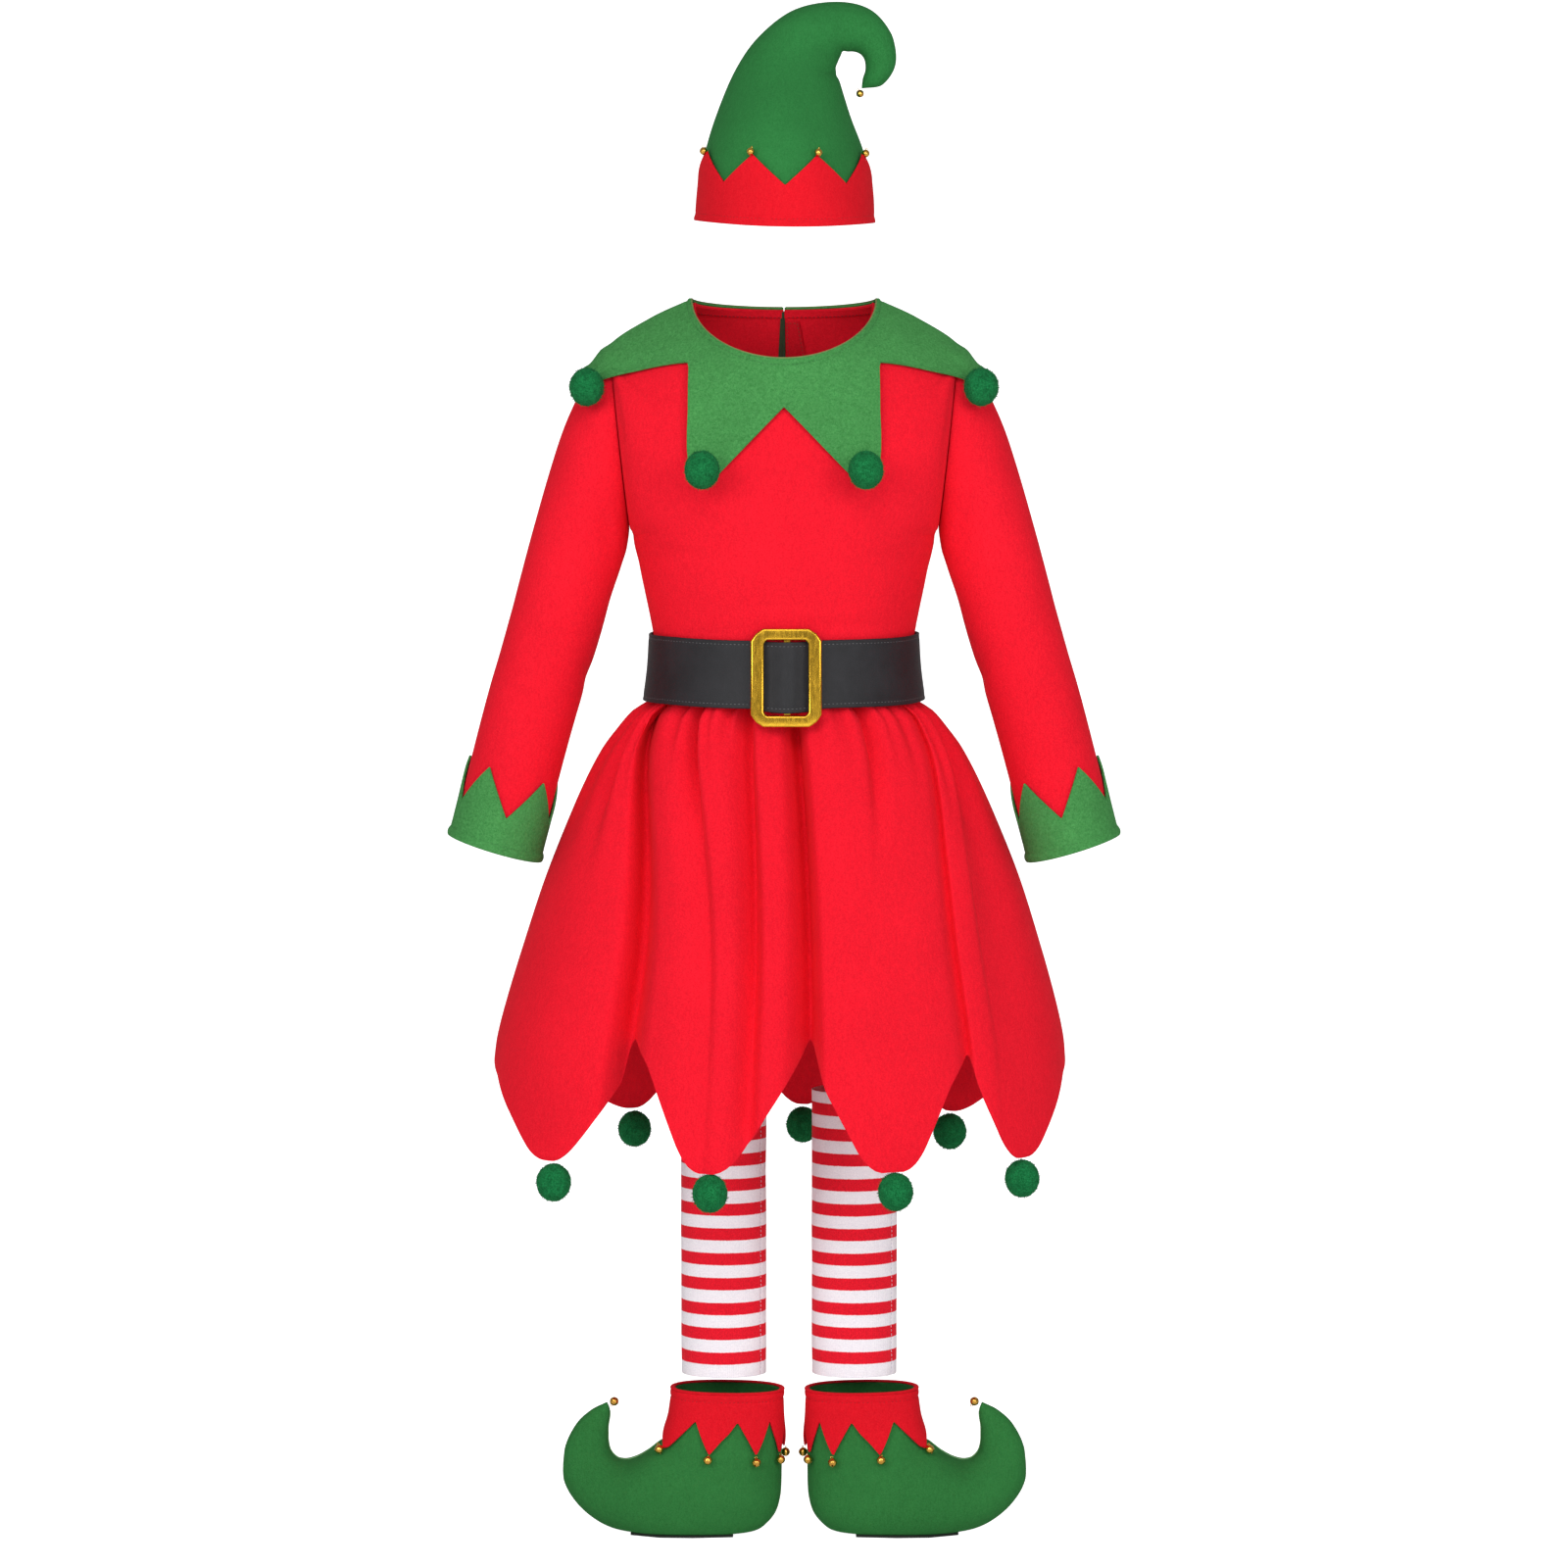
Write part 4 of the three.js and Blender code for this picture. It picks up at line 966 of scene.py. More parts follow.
def on_bodice(side, turn, place):
    """side -1 is the front and 1 the back; turn runs from -90 to 90, place over the rows."""
    if ARMPIT_ROW <= place <= SHOULDER_ROW:
        edge = armhole_point(180 * (place - ARMPIT_ROW) / (SHOULDER_ROW - ARMPIT_ROW))
    else:
        edge = Vector((BODICE_ROWS.at("sideX", place), 0, BODICE_ROWS.at("sideZ", place)))
    middle_y = BODICE_ROWS.at("frontY" if side < 0 else "backY", place)
    middle_z = BODICE_ROWS.at("frontZ" if side < 0 else "backZ", place)
    towards = math.cos(math.radians(turn))
    return Vector((
        edge.x * math.sin(math.radians(turn)),
        mix(side * edge.y, middle_y, towards),
        mix(edge.z, middle_z, towards),
    ))


SEAM_TURN = 0.18        # how far a panel's edges stay back at its side seams
BACK_CREASES = 0.8      # how deep they are against the front's


def bodice_form(side, start, end):
    last = len(BODICE_ROWS) - 1

    def at(u, v):
        turn = mix(start + SEAM_TURN, end - SEAM_TURN, u)
        point = on_bodice(side, turn, last * v)
        whole_u = (turn + 90) / 180
        rolled = 0.4 * (bump(whole_u, 0.012) + bump(1 - whole_u, 0.012))
        dip = bodice_crease_depth(whole_u, v) * (1.0 if side < 0 else BACK_CREASES) - rolled
        radial = Vector((point.x, point.y, 0)).normalized()
        return point + radial * dip

    return Form(at)


def make_dress_body(sizes):
    front = bodice_form(-1, -90, 90)
    back_left = bodice_form(1, -90, -0.1)
    back_right = bodice_form(1, 0.1, 90)
    for name, form, columns, node, flat, area in (
        ("bodice_front_cloth", front, 150, "bodice_front", (0.40, 0.31), 0.0800),
        ("bodice_back_left_cloth", back_left, 76, "bodice_back_left", (0.20, 0.32), 0.0420),
        ("bodice_back_right_cloth", back_right, 76, "bodice_back_right", (0.20, 0.32), 0.0420),
    ):
        piece = cloth_piece(name, form, columns, 110, sizes.cloth_wall, "red_cloth")
        sew(piece, [node], flat, area, with_pieces=neck_hem(node, form, sizes.cloth_wall / MM))
    make_closure(sizes, back_left)


def neck_hem(node, form, wall):
    """The turned hem inside the neck of a bodice panel, and its stitches."""
    inner = Form(lambda u, v: form.out(u, mix(0.972, 0.9985, v), -wall - 0.25))
    hem = cloth_piece(f"{node}_neck_hem", inner, 60, 6, HEM_WALL * MM, "red_cloth", round_rim=False)
    row = [(u, 0.12) for u in shares(60, 0.015, 0.985)]
    under = Form(lambda u, v: inner.out(u, v, -HEM_WALL))
    thread = stitches(f"{node}_neck_stitches", under, row, "dark_thread", lift=-0.05, thick=0.6)
    return [hem, thread]


CLOSURE_FOOT = 0.45     # how far up the back the closure starts


def make_closure(sizes, back_left):
    """The back closure's stitched tape, with a dark cord along the left panel's edge and a dark sheet behind
    the slit: painted shade in the slit.
    """
    wall = sizes.cloth_wall / MM
    # Painted shade: a dark cord just inside the left back panel's edge darkens the slit.
    edge = [(back_left.out(0.994, v, -wall - 0.9), -back_left.normal(0.994, v))
            for v in shares(40, 0.48, 0.997)]
    binding = cord_strip("closure_slit_shade_cord", edge, 1.7, 0.1, "slit_shade_and_tape_thread")
    # Painted shade: a dark sheet behind the slit between the back panels.
    under = Form(lambda u, v: on_bodice_inside(mix(-3.6, 0.9, u), mix(CLOSURE_FOOT, 0.9985, v), wall + 0.3))
    slit_shade_sheet = cloth_piece(
        "closure_slit_shade_sheet", under, 4, 60, SLIT_SHADE_SHEET_WALL * MM, "slit_shade_and_tape_thread", round_rim=False)
    tape = Form(lambda u, v: on_bodice_inside(mix(1.2, 14.2, u), mix(CLOSURE_FOOT, 0.965, v), wall + 1.1))
    piece = cloth_piece("closure_tape_strip", tape, 8, 60, TAPE_WALL * MM, "closure_tape")
    face = Form(lambda u, v: tape.out(u, v, -TAPE_WALL))
    border = [(0.12, v) for v in shares(50, 0.02, 0.98)] + [(0.88, v) for v in shares(50, 0.98, 0.02)]
    thread = stitches("closure_tape_stitches", face, border, "slit_shade_and_tape_thread", lift=-0.05)
    sew(piece, ["back_closure_tape"], (0.013, 0.158),
        with_pieces=[thread, binding, slit_shade_sheet])


def on_bodice_inside(x, v, depth):
    """A place about x millimetres from the centre back, at a depth inside the cloth."""
    last = len(BODICE_ROWS) - 1
    turn = math.degrees(math.asin(x / 100.0))
    point = on_bodice(1, turn, last * v)
    ahead = on_bodice(1, turn, last * (v + 0.01))
    slope = (ahead - point).normalized()
    inward = Vector((0, -slope.z, slope.y))
    return point + inward * depth


# Folds of a sleeve: turn round it from the outer edge by the front, place along it, half sizes, depth.
SLEEVE_CREASES = Table(
    "turn place halfTurn halfPlace depth twist",
    (150, 3.5, 34, 0.34, -2.6, 10),
    (165, 4.3, 30, 0.22, -2.0, 14),
    (128, 2.9, 26, 0.30, -1.8, -12),
    (205, 3.9, 30, 0.30, -2.2, 12),
    (60, 4.9, 40, 0.16, -1.2, 8),
    (170, 5.2, 34, 0.17, -1.7, 16),
    (100, 5.8, 34, 0.14, -1.0, 10),
    (250, 4.8, 36, 0.22, -1.6, 12),
    (300, 5.6, 40, 0.18, -1.2, -10),
    (30, 3.2, 26, 0.40, -1.2, 6),
)


def sleeve_form(side):
    at_ring, last = tube_form(SLEEVE_RINGS, ("outX", "outZ", "inX", "inZ"))

    def at(u, v):
        turn, place = 360 * u, last * v
        point = at_ring(turn, place)
        dip = crease_depth(SLEEVE_CREASES, turn, place)
        dip -= 0.5 * bump(place, 0.10)
        dip += 1.2 * bump(place - 0.42, 0.30) * max(0, math.cos(math.radians(turn)))
        low, high = at_ring(0, place), at_ring(180, place)
        radial = point - (low + high) / 2
        under_arm = ease(0.4, 0.95, -math.cos(math.radians(turn))) * (1 - ease(3.9, 4.8, place))
        point += radial.normalized() * dip * (1 - under_arm)
        return Vector((side * point.x, point.y, point.z))

    return Form(at, around=True)


def make_sleeves(sizes):
    for name, side in (("left", -1), ("right", 1)):
        form = sleeve_form(side)
        trimmed = Form(lambda u, v, form=form: form.at(u, v * 0.9975), around=True)
        sleeve = cloth_piece(f"sleeve_{name}_cloth", trimmed, 120, 150, sizes.cloth_wall, "red_cloth")
        sew(sleeve, [f"sleeve_{name}"], (0.30, 0.42), 0.106)
        make_cuff(name, form, sizes)


def cuff_rise(u):
    return zigzag(360 * u, CUFF["points"], CUFF["first"], CUFF["tip"], CUFF["valley"])


CUFF_REACH = 107.3      # the length of the sleeve's last ring space, on which the cuff lies


def make_cuff(name, sleeve, sizes):
    """A felt cuff with five points, whose edges stand off the sleeve a little."""
    spaces = len(SLEEVE_RINGS) - 1

    def at(u, v):
        down = cuff_rise(u) * (1 - v)
        place = 1 - down / CUFF_REACH * (1 / spaces)
        flare = 1.7 * bump(down - 3, 4) - 0.5 * bump(down - CUFF["stitch"], 1.0) + 0.35 * ease(25, 65, down)
        return sleeve.out(u, place, LYING_GAP + sizes.felt_wall / MM + flare)

    form = Form(at, around=True)
    cuff = cloth_piece(f"cuff_{name}_felt", form, 240, 40, sizes.felt_wall, "green_felt")
    row = [(u, 1 - CUFF["stitch"] / cuff_rise(u)) for u in shares(240)]
    thread = stitches(f"cuff_stitches_{name}", form, row, "green_thread", lift=0.02, thick=0.4, length=0.7)
    sew(cuff, [f"cuff_{name}"], (0.27, 0.075), 0.0130,
        with_pieces=[thread])


def cloth_tree(objects):
    """One search tree over the faces of some finished cloth pieces, in the tables' millimetres."""
    points, faces = [], []
    for piece in objects:
        base = len(points)
        points += [v.co / MM + Vector((0, 0, NECK_HEIGHT)) for v in piece.data.vertices]
        faces += [tuple(base + i for i in face.vertices) for face in piece.data.polygons]
    return BVHTree.FromPolygons(points, faces)


def collar_target(turn, share):
    half = abs(turn)
    side = -1 if half <= 90 else 1
    bodice_turn = half if half <= 90 else 180 - half
    neck = on_bodice(side, bodice_turn, len(BODICE_ROWS) - 1.045)
    edge = Vector([COLLAR_OUTLINE.at(key, half, straight=True) for key in "xyz"])
    point = neck.lerp(edge, share)
    point.x = math.copysign(point.x, turn)
    return point


def collar_grid(tree, columns, rows):
    """Distances of the collar's points along rays from inside, smoothed without sinking into the cloth."""
    turns = [mix(-179.7, 179.7, i / columns) for i in range(columns + 1)]
    rays, least = [], []
    for r in range(rows + 1):
        rays.append([])
        least.append([])
        for turn in turns:
            target = collar_target(turn, (r / rows) ** COLLAR_CLOSENESS)
            start = Vector((target.x * 0.75, 0, 905))
            way = (target - start).normalized()
            reach, origin = 0.0, start.copy()
            for _ in range(8):
                hit = tree.ray_cast(origin, way)[0]
                if hit is None:
                    break
                origin = hit + way * 0.05
                reach = (hit - start).length
            rays[-1].append((start, way))
            least[-1].append((reach or (target - start).length) + COLLAR_LIFT)
    height = [line[:] for line in least]
    for _ in range(20):
        fresh = [line[:] for line in height]
        for r in range(rows + 1):
            for c in range(columns + 1):
                near = [height[r][max(c - 1, 0)], height[r][min(c + 1, columns)],
                        height[max(r - 1, 0)][c], height[min(r + 1, rows)][c]]
                fresh[r][c] = max(least[r][c], 0.4 * height[r][c] + 0.15 * sum(near))
        height = fresh
    return [[start + way * reach for (start, way), reach in zip(*line)] for line in zip(rays, height)]


def make_collar(sizes):
    below = ("bodice_front", "bodice_back_left", "bodice_back_right", "sleeve_left", "sleeve_right")
    tree = cloth_tree([bpy.data.objects[f"{node}_cloth"] for node in below])
    columns, rows = 358, 56
    grid = collar_grid(tree, columns, rows)
    felt = sizes.felt_wall / MM

    def at(u, v):
        c, r = clamp(u) * columns, clamp(v) * rows
        i, j = min(int(c), columns - 1), min(int(r), rows - 1)
        low = grid[j][i].lerp(grid[j][i + 1], c - i)
        high = grid[j + 1][i].lerp(grid[j + 1][i + 1], c - i)
        return low.lerp(high, r - j)

    base = Form(at)
    base.STEP = 0.006
    length = [(at(u, 0.0) - at(u, 1.0)).length for u in shares(181)]

    def rolled(u, v):
        from_neck = length[round(clamp(u) * 180)] * v**COLLAR_CLOSENESS
        rise = 1.1 * bump(from_neck - 2.2, 1.9) - 0.45 * bump(from_neck - COLLAR_STITCH, 0.9)
        return base.out(u, v, felt + rise)

    form = Form(rolled)
    form.STEP = 0.006
    collar = cloth_piece("collar_felt", form, columns, rows, sizes.felt_wall, "green_felt")
    row = [(u, (COLLAR_STITCH / reach) ** (1 / COLLAR_CLOSENESS))
           for u, reach in zip(shares(181), length)][1:-1]
    thread = stitches("collar_stitches", form, row, "green_thread", lift=0.0, thick=0.6, length=0.8)
    edge = [(form.out(u, 0.004, 0.0), form.normal(u, 0.004)) for u in shares(200, 0.002, 0.998)]
    binding = cord_strip("neck_edge_binding", edge, 1.5, -0.2, "edge_binding")
    sew(collar, ["collar"], (0.36, 0.34), 0.0600,
        with_pieces=[thread, binding])


# Skirt

# Lines down the skirt: where one starts at the waist and ends at the hem, the depth of its fold, and the
# half width of the fold's groove at the waist and at the hem. Lines without a depth only lead the cloth.
FOLD_LINES = Table(
    "hem waist depth halfTop halfBottom",
    (-97.0, -97.0, 0, 5, 6),
    (-54.7, -80.0, 0, 5, 6),
    (-30.6, -64.0, 46, 6, 13),
    (-14.6, -46.2, 0, 5, 6),
    (-5.6, -16.8, 0, 5, 6),
    (6.4, 3.8, 42, 6, 10),
    (21.7, 38.5, 0, 5, 6),
    (41.0, 63.0, 12, 4, 6),
    (50.0, 80.0, 0, 5, 6),
    (97.0, 97.0, 0, 5, 6),
    (158.0, 138.0, 28, 4, 7),
    (192.0, 201.0, 28, 4, 7),
    (263.0, 263.0, 0, 5, 6),
    by="hem",
)
FOLD_LEAN = 3.5
LOW_SIDE, HIGH_SIDE = 0.75, 1.7     # a fold is wider towards -X, where its cloth slides in gently
GATHER_DEPTH = 1.5          # the lesser folds' depths against their table
# Lesser folds: turn at the waist, depth, half width in millimetres towards -X and +X, reach down the skirt.
SMALL_FOLDS = Table(
    "waist depth halfLow halfHigh reach",
    (-88.0, 5.0, 5, 5, 0.34),
    (-80.0, 12.0, 5, 4, 0.28),
    (-72.0, 3.0, 3, 3, 0.20),
    (-54.9, 9.0, 3.5, 3, 0.13),
    (-46.2, 14.0, 4.5, 4, 0.22),
    (-45.8, 6.0, 9, 5, 0.95),
    (-37.0, 3.0, 3, 3, 0.14),
    (-28.1, 9.0, 3.5, 3.5, 0.11),
    (-16.8, 16.0, 10, 3, 1.10),
    (-6.0, 3.0, 3, 3, 0.12),
    (12.0, 3.0, 3, 3, 0.12),
    (22.8, 3.5, 3, 3, 0.10),
    (26.7, 4.0, 4, 3, 0.13),
    (33.0, 2.5, 3, 3, 0.10),
    (38.5, 13.0, 5, 4, 0.24),
    (47.0, 2.5, 3, 3, 0.14),
    (55.4, 4.5, 4, 4, 0.16),
    (72.0, 5.0, 4, 4, 0.20),
    (82.6, 7.0, 4.5, 4.5, 0.75),
    (92.0, 4.5, 5, 5, 0.30),
    (104.0, 5.5, 6, 5, 0.40),
    (113.0, 7.0, 8, 6, 0.60),
    (121.0, 4.5, 5, 5, 0.30),
    (130.0, 6.0, 6, 5, 0.42),
    (148.0, 7.5, 8, 6, 0.55),
    (157.0, 4.5, 5, 4, 0.30),
    (164.0, 9.0, 12, 6, 0.85),
    (172.0, 4.5, 5, 4, 0.28),
    (181.0, 6.0, 6, 5, 0.42),
    (190.0, 4.5, 5, 4, 0.30),
    (212.0, 6.0, 7, 6, 0.48),
    (220.0, 4.5, 5, 5, 0.30),
    (229.0, 8.0, 9, 8, 0.66),
    (240.0, 4.5, 5, 5, 0.32),
    (250.0, 6.0, 6, 5, 0.44),
    (257.0, 4.5, 5, 4, 0.26),
    by="waist",
)


def hem_height(hem_turn):
    """The hem's outline with its corners softened, more at the points than between them."""
    tipward = ease(400, 345, HEM_OUTLINE.at("z", hem_turn, straight=True))
    spread = mix(HEM_SPREAD["valley"], HEM_SPREAD["tip"], tipward)
    near = [hem_turn + spread * side for side in (-1, -0.5, 0, 0.5, 1)]
    return sum(HEM_OUTLINE.at("z", turn, straight=True) for turn in near) / len(near)


def led(share):
    """How far a line has moved from its place at the waist to its place at the hem."""
    return 1 - (1 - share) ** FOLD_LEAN


def on_skirt(hem_turn, share):
    """The place a share of the way down the line that ends at a turn round the hem."""
    z = mix(SKIRT_SEAM_Z, HEM_TIP_Z, share) + (hem_height(hem_turn) - HEM_TIP_Z) * share**2
    drop = (SKIRT_SEAM_Z - z) / (SKIRT_SEAM_Z - HEM_TIP_Z)
    waist_turn = FOLD_LINES.at("waist", hem_turn, straight=True)
    turn = mix(waist_turn, hem_turn, led(share))
    angle = math.radians(turn)
    half_width = SKIRT_FLARE.at("halfWidth", z)
    pulled = 0.0
    for line in FOLD_ROWS:
        away = (turn - mix(line["waist"], line["hem"], led(share)) + 180) % 360 - 180
        halves = math.radians(away) * half_width / mix(line["halfTop"], line["halfBottom"], share)
        halves *= LOW_SIDE if away < 0 else HIGH_SIDE
        if abs(halves) < 10:
            pulled += line["depth"] * (0.25 * bump(halves, 4) + 0.75 * bump(halves, 1))
    out = 0.0
    started = ease(-0.02, 0.045, drop)
    for fold in SMALL_ROWS:
        away = (waist_turn - fold["waist"] + 180) % 360 - 180
        if abs(away) > 30 or share > 2.2 * fold["reach"]:
            continue
        wide = math.radians(away) * SKIRT_FLARE.columns["halfWidth"][-1] / (1.25 + 0.4 * share)
        half = fold["halfHigh"] if away > 0 else fold["halfLow"]
        fading = math.exp(-((share / fold["reach"]) ** 2.6))
        out -= GATHER_DEPTH * fold["depth"] * started * bump(wide, half) * fading
    out += 3.0 * ease(0.02, 0.16, drop) + 1.6 * math.sin(math.radians(3 * hem_turn) + 4 * drop) * drop
    point = Vector((
        SKIRT_SWAY * drop**2 + half_width * math.sin(angle),
        -SKIRT_FLARE.at("halfDepth", z) * math.cos(angle),
        z,
    ))
    point += Vector((math.sin(angle), -math.cos(angle), 0)) * out
    point.y += math.copysign(pulled * ease(0, 0.10, share), math.cos(angle))
    return point


FOLD_ROWS, SMALL_ROWS = FOLD_LINES.rows(), SMALL_FOLDS.rows()


def even_columns(start, end, count):
    """Turns at the hem, spread so that they stay close together at the waist too."""
    fine = shares(1200, start, end)
    waist = [FOLD_LINES.at("waist", turn, straight=True) for turn in fine]
    walked = [0.0]
    for i in range(1, len(fine)):
        near = min(abs((fine[i] - line["hem"] + 180) % 360 - 180) for line in FOLD_ROWS if line["depth"])
        dense = 1 + 1.6 * bump(near, 4.0)
        walked.append(walked[-1] + dense * max(fine[i] - fine[i - 1], 0.75 * (waist[i] - waist[i - 1])))
    columns, i = [], 0
    for number in range(count + 1):
        target = walked[-1] * number / count
        while i < len(fine) - 2 and walked[i + 1] < target:
            i += 1
        columns.append(mix(fine[i], fine[i + 1], clamp((target - walked[i]) / (walked[i + 1] - walked[i]))))
    return columns


def skirt_form(start, end, count):
    columns = even_columns(start + 0.12, end - 0.12, count)

    def at(u, v):
        place = clamp(u) * count
        i = min(int(place), count - 1)
        return on_skirt(mix(columns[i], columns[i + 1], place - i), v)

    return Form(at)


def make_skirt(sizes):
    for name, start, end, columns, flat, area in (
        ("front", -97.0, 97.0, 400, (0.78, 0.40), 0.2200),
        ("back", 97.0, 263.0, 340, (0.70, 0.40), 0.2000),
    ):
        form = skirt_form(start, end, columns)
        piece = cloth_piece(f"skirt_{name}_cloth", form, columns, 96, sizes.cloth_wall, "red_cloth")
        sew(piece, [f"skirt_{name}"], flat, area)


# Belt and buckle

def on_belt(turn, z):
    angle = math.radians(turn)
    x = BELT_ROWS.at("halfWidth", z) * math.sin(angle)
    y = -BELT_ROWS.at("halfDepth", z) * math.cos(angle)
    over_bar = bump(x - BELT_BULGE["x"], BELT_BULGE["halfWidth"]) if y < 0 else 0
    crease = bump(x - BELT_BULGE["x"] - 1.5, 1.6) if y < 0 else 0
    y -= BELT_BULGE["depth"] * over_bar - 0.5 * crease
    if y < 0:
        low, high = BELT_ROWS.places[0], BELT_ROWS.places[-1]
        dip = mix(BELT_DIP["lower"], BELT_DIP["upper"], (z - low) / (high - low))
        z -= dip * math.exp(-(((x - BELT_BULGE["x"]) / BELT_DIP["halfWidth"]) ** 4))
    return Vector((x, y, z))


BELT_STITCHES = {"lower": 0.062, "upper": 0.938}    # places across the strap


def make_belt(sizes):
    low, high = BELT_ROWS.places[0], BELT_ROWS.places[-1]

    def at(u, v):
        turn = 360 * u + 180
        point = on_belt(turn, mix(low, high, v))
        sway = 0.8 * math.sin(math.radians(5 * turn)) * abs(math.sin(math.radians(turn)))
        point.z += sway * 0.5
        radial = Vector((point.x, point.y, 0)).normalized()
        return point - radial * 0.35 * sum(bump(v - place, 0.016) for place in BELT_STITCHES.values())

    form = Form(at, around=True)
    strap = cloth_piece("belt_strap_leather", form, 420, 40, sizes.strap_wall, "leatherette")
    sew(strap, ["belt_strap"])
    for name, v in BELT_STITCHES.items():
        row = [(u, v) for u in shares(400)]
        sew(stitches(f"belt_stitches_{name}", form, row, "grey_thread", lift=0.05, thick=0.5))


BUCKLE = {"width": 57.0, "height": 79.0, "bar": 10.6, "corner": 10, "wall": 3.5, "crown": 2.3, "lean": 5.5}
BUCKLE_WINDOW = (35.5 / 35.8, 60.5 / 57.8, 1)       # brings the inset window to its own size


def make_buckle(sizes):
    """The frame: a plate with cut corners and a window, its bars crowned by wide bevels."""
    low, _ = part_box("buckle_frame")
    centre, _ = node_middle("buckle_frame")
    deselect()
    bpy.ops.mesh.primitive_plane_add(size=1)
    piece = bpy.context.object
    bpy.ops.transform.resize(value=(BUCKLE["width"] * MM, BUCKLE["height"] * MM, 1))
    bpy.ops.object.transform_apply(location=False, rotation=False, scale=True)
    bpy.ops.object.mode_set(mode="EDIT")
    bpy.ops.mesh.select_all(action="SELECT")
    bpy.ops.mesh.bevel(offset=BUCKLE["corner"] * MM, segments=2, affect="VERTICES", profile=0.35)
    bpy.ops.mesh.select_all(action="SELECT")
    bpy.ops.mesh.inset(thickness=BUCKLE["bar"] * MM)
    bpy.ops.transform.resize(value=BUCKLE_WINDOW)
    bpy.ops.mesh.delete(type="FACE")
    bpy.ops.mesh.select_all(action="SELECT")
    bpy.ops.mesh.extrude_region_move(TRANSFORM_OT_translate={"value": (0, 0, BUCKLE["wall"] * MM)})
    bpy.ops.mesh.select_all(action="SELECT")
    bpy.ops.mesh.normals_make_consistent(inside=False)
    bpy.ops.object.mode_set(mode="OBJECT")
    crown = piece.modifiers.new("Crowned bars", "BEVEL")
    crown.width = BUCKLE["crown"] * MM
    crown.segments = 4
    crown.profile = 0.55
    crown.limit_method = "ANGLE"
    crown.angle_limit = math.radians(50)
    piece.location = (centre.x, low[1] + 1.9 * MM, centre.z)
    piece.rotation_euler = (math.pi / 2 - math.radians(BUCKLE["lean"]), 0, 0)
    bpy.context.view_layer.update()
    middle = piece.matrix_world @ Vector((0, 0, BUCKLE["wall"] / 2 * MM))
    piece.location.y += centre.y - middle.y
    bpy.context.view_layer.update()
    apply_modifiers(piece)
    settle(piece, "buckle_frame_metal", "gold_metal")
    smooth_by_angle(piece, 40)
    sew(piece, ["buckle_frame"])
    coat(frame["nodes"]["buckle_bar"], "gold_metal")


# Pompoms and bells

def make_tuft(fibres, seed):
    """A yarn ball of radius 1: a lumpy core under many short loose ends."""
    deselect()
    bpy.ops.mesh.primitive_ico_sphere_add(subdivisions=5, radius=1)
    core = bpy.context.object
    for vertex in core.data.vertices:
        way = vertex.co.normalized()
        lumps = noise.noise(way * 3.1 + Vector((seed, 0, 0)))
        tufts = noise.noise(way * 9.0 + Vector((0, seed, 0)))
        fine = noise.noise(way * 24.0 + Vector((0, 0, seed)))
        vertex.co = way * (0.945 + 0.022 * lumps + 0.028 * tufts + 0.018 * fine)
    randomly = random.Random(seed)
    points, faces = [], []
    for _ in range(fibres):
        way = Vector([randomly.gauss(0, 1) for _ in range(3)]).normalized()
        lean = Vector([randomly.gauss(0, 1) for _ in range(3)]) * 0.35
        side = way.cross(lean).normalized() * 0.016
        other = way.cross(side).normalized() * 0.016
        tip = way * randomly.uniform(0.985, 1.06) + lean * 0.10
        base = len(points)
        points += [way * 0.90 + side, way * 0.90 - side * 0.5 + other, way * 0.90 - side * 0.5 - other, tip]
        faces += [(base, base + 1, base + 3), (base + 1, base + 2, base + 3), (base + 2, base, base + 3),
                  (base + 2, base + 1, base)]
    ends = mesh_piece("loose_ends", points, faces)
    select_only(core, ends)
    bpy.ops.object.join()
    smooth_by_angle(core, 60)
    return core


def node_middle(node):
    low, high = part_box(node)
    return Vector([(a + b) / 2 for a, b in zip(low, high)]), Vector([(b - a) / 2 for a, b in zip(low, high)])


def copy_piece(pattern, name, matrix):
    piece = pattern.copy()
    piece.data = pattern.data.copy()
    bpy.context.scene.collection.objects.link(piece)
    piece.data.transform(matrix)
    piece.name = name
    piece.data.name = name
    return piece


def make_pompoms(sizes):
    pattern = coat(make_tuft(sizes.pompom_fibres, 5), "pompom_yarn")
    nodes = sorted(name for name in frame["nodes"] if name.startswith("pompom_"))
    for number, node in enumerate(nodes):
        middle, half = node_middle(node)
        spin = Euler((number * 1.3, number * 0.7, number * 2.1)).to_matrix().to_4x4()
        size = Matrix.Diagonal((*half, 1))
        piece = copy_piece(pattern, f"{node}_yarn", Matrix.Translation(middle) @ size @ spin)
        sew(piece, [node])
    bpy.data.objects.remove(pattern)


